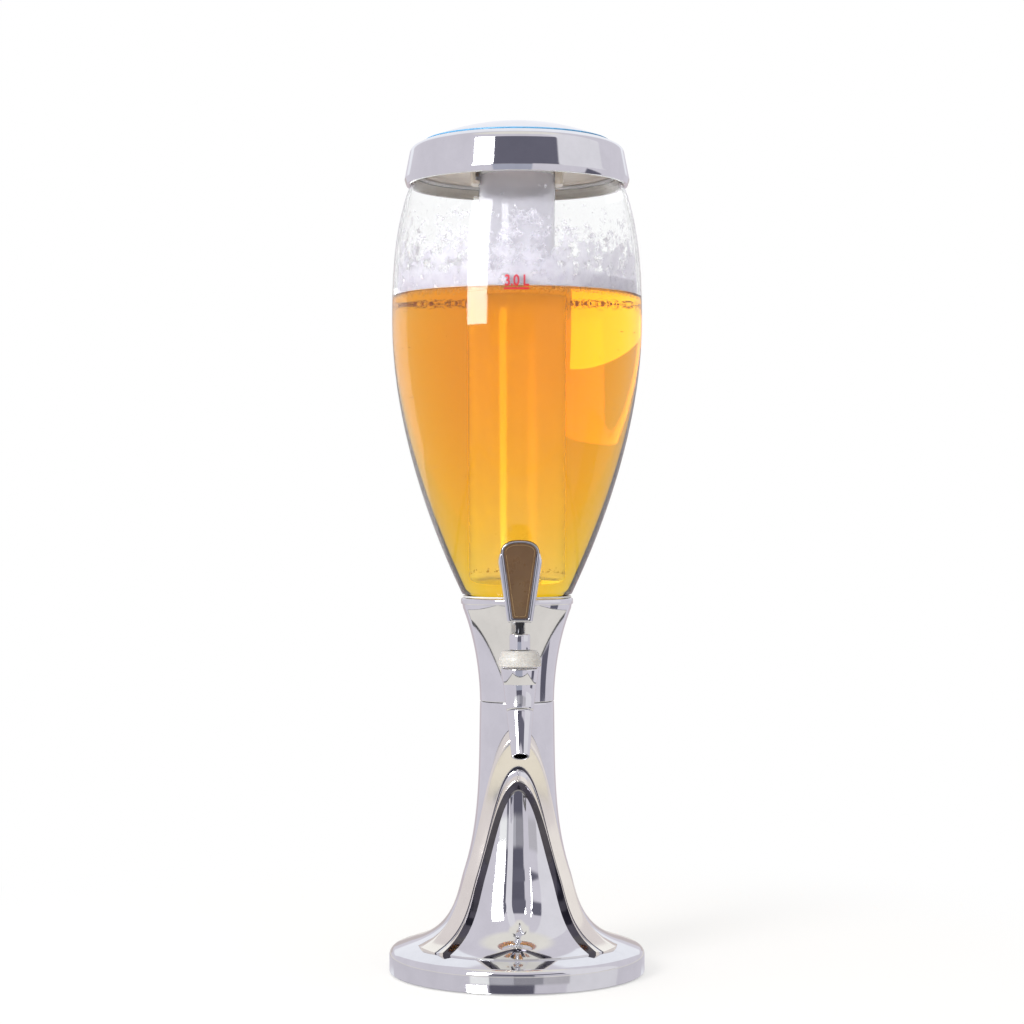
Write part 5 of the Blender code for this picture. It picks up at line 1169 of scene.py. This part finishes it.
tap = {
    "axis": -0.060, "shank": 0.2030, "armRadius": 0.0059, "armRounding": 0.0012, "armEnd": 0.0095,
    "barrelTop": 0.2092, "barrelTopRadius": 0.0126, "barrelFoot": 0.1984, "barrelFootRadius": 0.0110,
    "barrelCorners": ((0.0012, 6), (0.0005, 4)),
    "threadRadius": 0.0100, "threadTop": 0.2168, "threadPitch": 0.0011, "threadDepth": 0.0005,
    "threadFootInset": 0.0003, "threadTurns": 6, "chamberRadius": 0.0080, "seat": 0.1990,
    "flangeRadius": 0.0115, "flangeThickness": 0.003, "flangeRounding": 0.0009, "flangeSlope": 0.0002,
    "gasket": 0.0034, "shankRadius": 0.0055, "sides": 96, "armSides": 64, "sharpAngle": 35.0,
    # one turn of the thread: drop in pitches, and depth as a share
    "threadTurn": ((0.15, 1.0), (0.45, 0.0), (0.6, 0.0), (0.9, 1.0)),
}

spout = {
    "topRadius": 0.0108, "mouth": 0.1528, "reach": 0.016, "topLean": 4.0, "mouthLean": 28.0,
    "mouthRadius": 0.0058, "boreRadius": 0.0044, "mouthRounding": 0.0005, "seamShare": 0.38,
    "seamWidth": 0.0006, "seamInset": 0.0004, "rootShare": -0.02, "rootRise": 0.001, "boreEnd": 0.05,
    "lookAhead": 0.01, "straightFrom": 0.985, "steps": 40,
}

bonnet = {
    "bottom": 0.2101, "top": 0.2205, "radius": 0.0140, "topInset": 0.0025, "bore": 0.0104, "roof": 0.2175,
    "rodHole": 0.0026, "corners": ((0.0004, 3), (0.0026, 10), (0.006, 8), (0.0012, 6)),
}


def tapPlace():
    return Matrix.Translation((0.0, tap["axis"], 0.0))


def spoutPoint(share):
    foot, mouth = tap["barrelFoot"], spout["mouth"]
    line = curveBetween((0.0, foot), -spout["topLean"], (spout["reach"], mouth), -spout["mouthLean"], 120)
    height = foot + (mouth - foot) * share
    return Vector((0.0, tap["axis"] - radiusAt(line, height), height))


def spoutRadius(share):
    return spout["topRadius"] + (spout["mouthRadius"] - spout["topRadius"]) * share


def barrelOutline():
    radius, cut, pitch = tap["threadRadius"], tap["threadDepth"], tap["threadPitch"]
    thread = [
        (radius - cut * depth, tap["threadTop"] - pitch * (turn + drop))
        for turn in range(tap["threadTurns"]) for drop, depth in tap["threadTurn"]
    ]
    seat, chamber, top, foot = tap["seat"], tap["chamberRadius"], tap["barrelTop"], tap["barrelFoot"]
    path = [(0.0, top), (tap["barrelTopRadius"], top), (tap["barrelFootRadius"], foot), (0.0, foot)]
    outline = [(0.0, seat), (chamber, seat), (chamber, tap["threadTop"])] + thread
    outline.append((radius - tap["threadFootInset"], top))
    return outline + roundedPath(path, *tap["barrelCorners"]) + path[-1:]


def armOutline():
    # the shank inside the collar, the flange on it and the arm out to the barrel, as distances from the axis
    back = radiusAt(collarFlare(48), tap["shank"]) + tap["gasket"] + seatGap
    front = back + tap["flangeThickness"]
    shank, flange, arm = tap["shankRadius"], tap["flangeRadius"], tap["armRadius"]
    outline = [(0.0, tap["armEnd"]), (shank, tap["armEnd"]), (shank, back), (flange, back)]
    outline += roundedCorner((flange, back), (flange, front), (arm, front), tap["flangeRounding"], 5)
    inner, end = (arm, front + tap["flangeSlope"]), (arm, -tap["axis"])
    outline += roundedCorner((flange, front), inner, end, tap["armRounding"], 5)
    return outline + [end, (0.0, end[1])]


def makeTapBody():
    bm = bmesh.new()
    addTurned(bm, barrelOutline(), tap["sides"], closed=False, place=tapPlace())
    shares = evenSteps(spout["rootShare"], spout["seamShare"], spout["steps"] // 2)
    points = [spoutPoint(max(share, 0.0)) for share in shares]
    points[0].z += spout["rootRise"]
    radii = [spoutRadius(max(share, 0.0)) for share in shares]
    radii[-1] -= spout["seamInset"]
    ends = zip(points[:1] + points[:-1], points[1:] + points[-1:])
    directions = [(after - before).normalized() for before, after in ends]
    addSwept(bm, points, directions, radii, tap["sides"])
    place = Matrix.Translation((0.0, 0.0, tap["shank"])) @ Matrix.Rotation(math.radians(90), 4, "X")
    addTurned(bm, armOutline(), tap["armSides"], closed=False, place=place)
    addPiece("tapPlating", bm, "chromePlating", "tower", "chrome_plating", "tap_body",
             sharpAngle=tap["sharpAngle"])


def makeSpoutNozzle():
    # rings down the outside, round the mouth's rim and back up the bore
    length = tap["barrelFoot"] - spout["mouth"]
    start = spout["seamShare"] + spout["seamWidth"] / length
    shares = evenSteps(start, 1.0, spout["steps"])
    points = [spoutPoint(share) for share in shares]
    radii = [spoutRadius(share) for share in shares]
    radii[0] -= spout["seamInset"]
    mouthAlong = (points[-1] - points[-2]).normalized()
    corner = (spout["mouthRadius"], 0.0)
    rim = roundedCorner((0.0, 0.0), corner, (spout["mouthRadius"], length), spout["mouthRounding"], 5)
    for radius, lift in rim[::-1][1:]:
        points.append(spoutPoint(1.0) - mouthAlong * lift)
        radii.append(radius)
    for share in evenSteps(1.0, start + spout["boreEnd"], 16):
        points.append(spoutPoint(share))
        radii.append(spout["boreRadius"])

    reach, straightFrom = spout["lookAhead"], spout["straightFrom"]

    def alongAt(point):
        share = min(max((tap["barrelFoot"] - point.z) / length, reach), 1 - reach)
        if share > straightFrom:
            return mouthAlong
        return (spoutPoint(share + reach) - spoutPoint(share - reach)).normalized()

    bm = bmesh.new()
    addSwept(bm, points, [alongAt(point) for point in points], radii, tap["sides"])
    addPiece("spoutPlating", bm, "chromePlating", "tower", "chrome_plating", "spout_nozzle",
             sharpAngle=tap["sharpAngle"])


def makeBonnet():
    bottom, top, radius, roof = bonnet["bottom"], bonnet["top"], bonnet["radius"], bonnet["roof"]
    hole, bore = bonnet["rodHole"], bonnet["bore"]
    widest, shoulder = (radius, (bottom + top) / 2), (radius - bonnet["topInset"], top)
    path = [(hole, roof), (hole, top), shoulder, widest, (radius, bottom), (bore, bottom)]
    outline = roundedPath(path, *bonnet["corners"]) + [(bore, bottom), (bore, roof), (hole, roof)]
    addTurnedPiece("nylonBonnet", outline, tap["sides"], "creamNylon", "tower", "white_nylon", "bonnet_nut",
                   place=tapPlace())


# The return spring sits between the plug's seat and the bonnet; the real one shortens as the plunger lifts
spring = {"wireRadius": 0.0004, "turns": 5, "stepsPerTurn": 24, "wireSides": 8, "travel": 0.003}


def makeSpring():
    low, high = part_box("valve_spring")
    wire, turns = spring["wireRadius"], spring["turns"]
    middle, radius = (low + high) / 2, (high.x - low.x) / 2 - wire
    loops = []
    for share in evenSteps(0.0, 1.0, turns * spring["stepsPerTurn"]):
        outwards = polar(1.0, math.tau * turns * share, 0.0)
        centre = Vector((middle.x, middle.y, low.z + wire + (high.z - low.z - 2 * wire) * share))
        up = Vector((0.0, 0.0, 1.0))
        loops.append(ringRound(centre + outwards * radius, outwards, up, wire, spring["wireSides"]))
    bm = bmesh.new()
    addLoops(bm, loops)
    coil = addPiece("coilSpring", bm, "brightSteel", "tower", "steel", "valve_spring")
    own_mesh(coil)


makeTapBody()
makeSpoutNozzle()
makeBonnet()
makeSpring()
print("tap made")


# Lever: hub, stud, chrome paddle and brown plate

hub = {
    "foot": 0.2208, "top": 0.2313, "radius": 0.00675, "corners": ((0.0014, 6), (0.0005, 5)),
    # the hollow under the hub, which clears the plunger: radius and height above the foot
    "hollow": ((0.0061, 0.0), (0.0059, 0.0004), (0.0059, 0.0075), (0.0055, 0.0079), (0.0, 0.0079)),
}

stud = {
    "top": 0.2479, "foot": 0.2316, "sides": 64,
    # radius and height above the foot, from the top's edge down
    "profile": (
        (0.0031, 0.0060), (0.0027, 0.0050), (0.0027, 0.0016), (0.0031, 0.0008), (0.0031, 0.0),
        (0.0018, 0.0), (0.0018, -0.002), (0.0, -0.002),
    ),
}

lever = {
    "foot": 0.2389, "lean": 3.0, "length": 0.0539, "thickness": 0.0094, "endHalfWidth": 0.0082,
    "halfWidth": 0.0143, "widestDrop": 0.0134, "shoulderDrop": 0.0075, "shoulderInset": 0.0015,
    "corners": ((0.0014, 6), (0.011, 10), (0.0022, 8)), "edgeRounding": 0.0014,
    "frameEndInset": 0.0016, "frameInset": 0.0019, "frameWidestDrop": 0.0075, "frameRise": 0.0016,
    "frameEdge": 0.0013, "crown": 0.8,
    # across the frame's rim: distance in from its outline, and depth behind its front
    "frameSection": (
        (-0.0001, 0.0063), (-0.0001, 0.0010), (0.0001, 0.0004), (0.00035, 0.0001), (0.0006, 0.0),
        (0.0009, 0.0001), (0.0012, 0.0004), (0.0013, 0.0008), (0.0013, 0.0022),
    ),
    # faces deeper than this take dark chrome: a painted dark reflection, a dark line round the frame
    "paintedDarkDepth": 0.0002,
    "plateSection": ((0.0016, 0.0016), (0.0016, 0.0009), (0.0018, 0.0007)),
    "lineSection": ((0.0029, 0.0008), (0.0029, 0.00066), (0.00312, 0.00066), (0.00312, 0.0008)),
}


def mirroredOutline(rightSide):
    return rightSide + [(-x, z) for x, z in reversed(rightSide) if x > tiny]


def paddleOutline():
    bottom = (lever["endHalfWidth"], 0.0)
    widest = (lever["halfWidth"], lever["length"] - lever["widestDrop"])
    shoulder = (lever["halfWidth"] - lever["shoulderInset"], lever["length"] - lever["shoulderDrop"])
    path = [(0.0, 0.0), bottom, widest, shoulder, (0.0, shoulder[1])]
    return mirroredOutline(roundedPath(path, *lever["corners"]))


def frameOutline(shrink):
    bottom = (lever["endHalfWidth"] - lever["frameEndInset"] - shrink, lever["frameEdge"] + shrink)
    widest = (lever["halfWidth"] - lever["frameInset"] - shrink, lever["length"] - lever["frameWidestDrop"])
    rise = lever["frameWidestDrop"] - shrink
    right = roundedCorner((0.0, bottom[1]), bottom, widest, lever["frameEdge"], 5)
    right += [tuple(Vector(right[-1]).lerp(Vector(widest), t)) for t in evenSteps(0.0, 1.0, 8)[1:]]
    for angle in evenSteps(0.0, math.pi / 2, 20)[1:]:
        across = max(math.cos(angle), 0.0) ** lever["crown"]
        right.append((widest[0] * across, widest[1] + rise * math.sin(angle)))
    right[-1] = (0.0, widest[1] + rise)
    return mirroredOutline(right)


def placedLoop(outline, depth):
    return [(x, tap["axis"] + depth, z + lever["foot"]) for x, z in outline]


def frameLoops(section):
    # loops that follow the frame's outline, from a section given behind the frame's front
    front = -lever["thickness"] / 2 - lever["frameRise"]
    return [placedLoop(frameOutline(shrink), front + depth) for shrink, depth in section]


def leanHandle(bm):
    foot = Vector((0, tap["axis"], lever["foot"]))
    lean = Matrix.Rotation(math.radians(lever["lean"]), 4, "X")
    bm.transform(Matrix.Translation(foot) @ lean @ Matrix.Translation(-foot))


def makeHub():
    top, foot, radius = hub["top"], hub["foot"], hub["radius"]
    path = [(0.0, top), (radius, top), (radius, foot), (0.0, foot)]
    outline = path[:1] + roundedPath(path, *hub["corners"])
    outline += [(inner, foot + lift) for inner, lift in hub["hollow"]]
    addTurnedPiece("hubPlating", outline, tap["sides"], "chromePlating", "lever", "chrome_plating",
                   "lever_hub", closed=False, place=tapPlace())


def makeStud():
    outline = [(0.0, stud["top"]), (stud["profile"][0][0], stud["top"])]
    outline += [(radius, stud["foot"] + lift) for radius, lift in stud["profile"]]
    addTurnedPiece("handleStud", outline, stud["sides"], "darkMetal", "lever", "dark_metal", "handle_stud",
                   closed=False, place=tapPlace())


def makePaddle():
    half, rounding, outline = lever["thickness"] / 2, lever["edgeRounding"], paddleOutline()
    edges = [(rounding * (1 - math.sin(angle)), rounding * (1 - math.cos(angle)))
             for angle in evenSteps(0.0, math.pi / 2, 5)]
    loops = [placedLoop(insetLoop(outline, inset), half - drop) for inset, drop in edges]
    loops += [placedLoop(insetLoop(outline, inset), drop - half) for inset, drop in reversed(edges)]
    bm = bmesh.new()
    addLoops(bm, loops)
    body = set(bm.faces)
    addLoops(bm, frameLoops(lever["frameSection"]))
    paintedDarkFrom = tap["axis"] - half - lever["frameRise"] + lever["paintedDarkDepth"]
    # the frame's deeper faces take the second finish, a painted dark reflection round the frame
    for face in bm.faces:
        if face not in body and face.calc_center_median().y > paintedDarkFrom and len(face.verts) == 4:
            face.material_index = 1
    leanHandle(bm)
    looks = ("chromePlating", "paintedDarkReflectionChrome")
    addPiece("paddlePlating", bm, looks, "lever", "chrome_plating", "handle_shell", sharpAngle=50.0)


def makePlate():
    # the plate lies in the frame, with a plain line set in near its edge
    bm = bmesh.new()
    addLoops(bm, frameLoops(lever["plateSection"]))
    leanHandle(bm)
    addPiece("brownPlate", bm, "brownPlate", "lever", "brown_plate", "handle_plate")
    bm = bmesh.new()
    addLoops(bm, frameLoops(lever["lineSection"]), caps=False, joined=True)
    leanHandle(bm)
    addPiece("plateLine", bm, "paleLine", "lever", "brown_plate")


makeHub()
makeStud()
makePaddle()
makePlate()
print("lever made")


# CAD nodes that keep their shape get a finish

keptNodes = {
    "bayonet_ring": "greyPlastic", "ballast_ring": "castIron", "bottom_cover": "blackPlastic",
    "base_pad": "padFoam", "tap_gasket": "clearSilicone", "neck_washer": "clearSilicone",
    "shank_nut": "whitePlastic", "plunger_rod": "brightSteel", "valve_plug": "clearSilicone",
    "pivot_pin": "brightSteel",
}
for number in range(1, 5):
    keptNodes[f"cover_screw_{number}"] = "brightSteel"

for nodeName, look in keptNodes.items():
    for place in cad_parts[nodeName].material_slots:
        place.material = finish[look]
print("kept nodes finished:", len(keptNodes))


# Studio: floor, surroundings, lamps and camera

studio = {
    "floorSize": 12.0, "floorColour": (0.84, 0.82, 0.79, 1), "floorRoughness": 0.9,
    "shadowReach": (0.16, 0.55), "shadowGlow": 0.55, "footReach": (0.17, 0.20),
    "polishColour": flat(0.92), "polishRoughness": 0.02,
    "fill": 0.82, "seenThrough": 1.0, "softEdge": 2.5,
}

# What metal mirrors above the floor: a pale light tent with darker and lighter patches
tent = {
    "sideColour": (0.70, 0.67, 0.74, 1), "ceilingColour": (0.86, 0.83, 0.77, 1), "ceilingFrom": (0.88, 0.95),
    "rightColour": (0.82, 0.80, 0.85, 1), "rightSide": (44.0, 100.0),
    # azimuths from the front (on both sides, or one), rises, colour
    "patches": (
        ("both", (150.0, 200.0), (12.0, 48.0), (0.93, 0.94, 1.0, 1)),
        ("both", (160.0, 200.0), (-20.0, 7.0), (0.58, 0.52, 0.52, 1)),
        ("one", (-27.0, 14.0), (-20.0, 31.0), (0.125, 0.12, 0.16, 1)),
        ("one", (-27.0, 44.0), (23.0, 36.5), (0.15, 0.145, 0.19, 1)),
        ("one", (-44.0, -26.0), (5.0, 14.5), (1.0, 1.0, 1.0, 1)),
        ("one", (-26.0, -4.0), (5.0, 14.5), (0.50, 0.49, 0.54, 1)),
        ("one", (-4.0, 22.0), (5.0, 14.5), (0.34, 0.33, 0.37, 1)),
        ("one", (22.0, 46.0), (5.0, 14.5), (0.55, 0.53, 0.57, 1)),
    ),
}

# What metal mirrors in the floor: a cream table with a dark edge, and the room beyond it
table = {
    "half": (0.58, 0.60), "colour": (0.80, 0.765, 0.72, 1), "edgeColour": flat(0.10), "edgeTo": 1.05,
    "fade": 0.01,
    "frontColour": (0.42, 0.43, 0.52, 1), "front": (-27.0, 14.0),
    "backColour": (0.62, 0.55, 0.59, 1), "back": ((-182.0, -148.0), (148.0, 182.0)),
    "darkColour": (0.125, 0.12, 0.16, 1), "dark": (74.0, 96.0),
    "darkFrom": (0.60, 0.66), "darkTo": (1.60, 1.70),
}

# Each lamp: place, target, width, height, power, and whether metal mirrors it
lamps = {
    "leftSoftbox": ((-1.02, -1.32, 0.98), (0.0, 0.0, 0.45), 0.58, 1.05, 24.0, True),
    "backPanel": ((-0.86, 1.32, 0.305), (0.0, 0.0, 0.305), 1.46, 0.66, 3.7, False),
    "topSoftbox": ((0.1, -0.1, 1.9), (0.0, 0.0, 0.3), 1.0, 0.8, 7.0, False),
}


def smoothRange(tree, source, low, high, start=0.0, end=1.0):
    return mapRange(tree, source, low, high, start, end, interpolation_type="SMOOTHSTEP")


def windowMask(tree, source, low, high):
    # 1 between two angles in degrees, with a soft edge
    edge = math.radians(studio["softEdge"]) / 2
    angles = math.radians(low), math.radians(high)
    rise, fall = [smoothRange(tree, source, angle - edge, angle + edge) for angle in angles]
    return addMath(tree, "SUBTRACT", rise, fall, use_clamp=True)


def bearing(tree, split):
    # the angle from straight in front, towards +X
    return addMath(tree, "ARCTAN2", split["X"], addMath(tree, "MULTIPLY", split["Y"], -1.0))


def splitPlace(tree, place):
    return addNode(tree, "ShaderNodeSeparateXYZ", {"Vector": place}).outputs


def tableInMetal(tree, place, reach):
    split = splitPlace(tree, place)
    spans = [
        addMath(tree, "DIVIDE", addMath(tree, "ABSOLUTE", split[axis]), half)
        for axis, half in zip("XY", table["half"])
    ]
    azimuth = bearing(tree, split)
    front = windowMask(tree, azimuth, *table["front"])
    colour = layerColour(tree, tent["sideColour"], table["frontColour"], front)
    for low, high in table["back"]:
        colour = layerColour(tree, colour, table["backColour"], windowMask(tree, azimuth, low, high))
    inReach = addMath(tree, "MULTIPLY", smoothRange(tree, reach, *table["darkFrom"]),
                      smoothRange(tree, reach, *table["darkTo"], 1.0, 0.0))
    beyond = addMath(tree, "MULTIPLY", windowMask(tree, azimuth, *table["dark"]), inReach)
    colour = layerColour(tree, colour, table["darkColour"], beyond)
    furthest = addMath(tree, "MAXIMUM", *spans)
    for edge, paint in ((table["edgeTo"], table["edgeColour"]), (1.0, table["colour"])):
        inside = smoothRange(tree, furthest, edge, edge + table["fade"], 1.0, 0.0)
        colour = layerColour(tree, colour, paint, inside)
    return colour


def makeFloor():
    # white where the camera sees it far off, with the tower's soft shadow near the foot
    half = studio["floorSize"] / 2
    mesh = bpy.data.meshes.new("floor")
    corners = [(-half, -half, 0), (half, -half, 0), (half, half, 0), (-half, half, 0)]
    mesh.from_pydata(corners, [], [(0, 1, 2, 3)])
    floor = bpy.data.objects.new("floor", mesh)
    bpy.context.scene.collection.objects.link(floor)
    material = bpy.data.materials.new("paleFloor")
    material.use_nodes = True
    tree = material.node_tree
    shader = tree.nodes["Principled BSDF"]
    shader.inputs["Base Color"].default_value = studio["floorColour"]
    shader.inputs["Roughness"].default_value = studio["floorRoughness"]
    place = objectPlace(tree)
    reach = addNode(tree, "ShaderNodeVectorMath", {0: place}, operation="LENGTH").outputs["Value"]
    rays = addNode(tree, "ShaderNodeLightPath").outputs
    camera, mirror, glass = rays["Is Camera Ray"], rays["Is Glossy Ray"], rays["Is Transmission Ray"]
    colour = layerColour(tree, flat(1.0), tableInMetal(tree, place, reach), mirror)
    colour = layerColour(tree, colour, flat(1.0), glass)
    glow = addNode(tree, "ShaderNodeEmission", {"Color": colour, "Strength": 1.0})
    clean = smoothRange(tree, reach, *studio["shadowReach"], studio["shadowGlow"], 1.0)
    seen = addMath(tree, "ADD", addMath(tree, "ADD", camera, glass, use_clamp=True), mirror, use_clamp=True)
    shown = addMath(tree, "MAXIMUM", addMath(tree, "MULTIPLY", seen, clean), mirror)
    plain = addNode(tree, "ShaderNodeMixShader", {
        "Fac": shown, 1: shader.outputs["BSDF"], 2: glow.outputs["Emission"],
    })
    # near the foot the floor is polished for metal, not for what glass shows
    polish = addNode(tree, "ShaderNodeBsdfGlossy", {
        "Color": studio["polishColour"], "Roughness": studio["polishRoughness"],
    })
    near = addMath(tree, "MULTIPLY", smoothRange(tree, reach, *studio["footReach"], 1.0, 0.0), mirror)
    polished = addNode(tree, "ShaderNodeMixShader", {
        "Fac": addMath(tree, "SUBTRACT", near, glass, use_clamp=True),
        1: plain.outputs["Shader"], 2: polish.outputs["BSDF"],
    })
    plug(tree, polished.outputs["Shader"], tree.nodes["Material Output"].inputs["Surface"])
    mesh.materials.append(material)


def makeSurroundings():
    # white to the camera and through glass; metal mirrors the tent
    world = bpy.data.worlds.new("studio")
    bpy.context.scene.world = world
    world.use_nodes = True
    tree = world.node_tree
    split = splitPlace(tree, addNode(tree, "ShaderNodeTexCoord").outputs["Generated"])
    azimuth = bearing(tree, split)
    turns = {"one": azimuth, "both": addMath(tree, "ABSOLUTE", azimuth)}
    rise = addMath(tree, "ARCSINE", split["Z"])
    right = windowMask(tree, azimuth, *tent["rightSide"])
    mirrored = layerColour(tree, tent["sideColour"], tent["rightColour"], right)
    ceiling = smoothRange(tree, split["Z"], *tent["ceilingFrom"])
    mirrored = layerColour(tree, mirrored, tent["ceilingColour"], ceiling)
    for sides, azimuths, rises, colour in tent["patches"]:
        across, upright = windowMask(tree, turns[sides], *azimuths), windowMask(tree, rise, *rises)
        mirrored = layerColour(tree, mirrored, colour, addMath(tree, "MULTIPLY", across, upright))
    rays = addNode(tree, "ShaderNodeLightPath").outputs
    light = layerColour(tree, flat(studio["fill"]), mirrored, rays["Is Glossy Ray"])
    light = layerColour(tree, light, flat(studio["seenThrough"]), rays["Is Transmission Ray"])
    light = layerColour(tree, light, flat(1.0), rays["Is Camera Ray"])
    background = tree.nodes["Background"].inputs
    plug(tree, light, background["Color"])
    background["Strength"].default_value = 1.0


def makeLamp(name):
    place, target, width, height, power, mirrored = lamps[name]
    data = bpy.data.lights.new(name, "AREA")
    data.shape = "RECTANGLE"
    data.size, data.size_y = width, height
    data.energy = power
    lamp = bpy.data.objects.new(name, data)
    lamp.location = place
    lamp.rotation_euler = (Vector(target) - Vector(place)).to_track_quat("-Z", "Y").to_euler()
    lamp.visible_glossy = mirrored
    bpy.context.scene.collection.objects.link(lamp)


# The shifts centre the view as the photograph's frame of 1024 pixels is centred
cameraSetup = {
    "azimuth": 1.75, "distance": 1.584, "height": 0.3064, "lens": 82.0, "sensor": 36.0,
    "shiftX": -5 / 1024, "shiftY": 7 / 1024,
}


def makeCamera():
    data = bpy.data.cameras.new("camera")
    data.lens, data.sensor_width = cameraSetup["lens"], cameraSetup["sensor"]
    data.shift_x, data.shift_y = cameraSetup["shiftX"], cameraSetup["shiftY"]
    camera = bpy.data.objects.new("camera", data)
    turn = math.radians(cameraSetup["azimuth"])
    reach = cameraSetup["distance"]
    camera.location = (-reach * math.sin(turn), -reach * math.cos(turn), cameraSetup["height"])
    camera.rotation_euler = (math.radians(90), 0, -turn)
    bpy.context.scene.collection.objects.link(camera)
    bpy.context.scene.camera = camera


makeFloor()
makeSurroundings()
for lampName in lamps:
    makeLamp(lampName)
makeCamera()
bpy.context.scene.view_settings.view_transform = "Standard"
print("studio made")
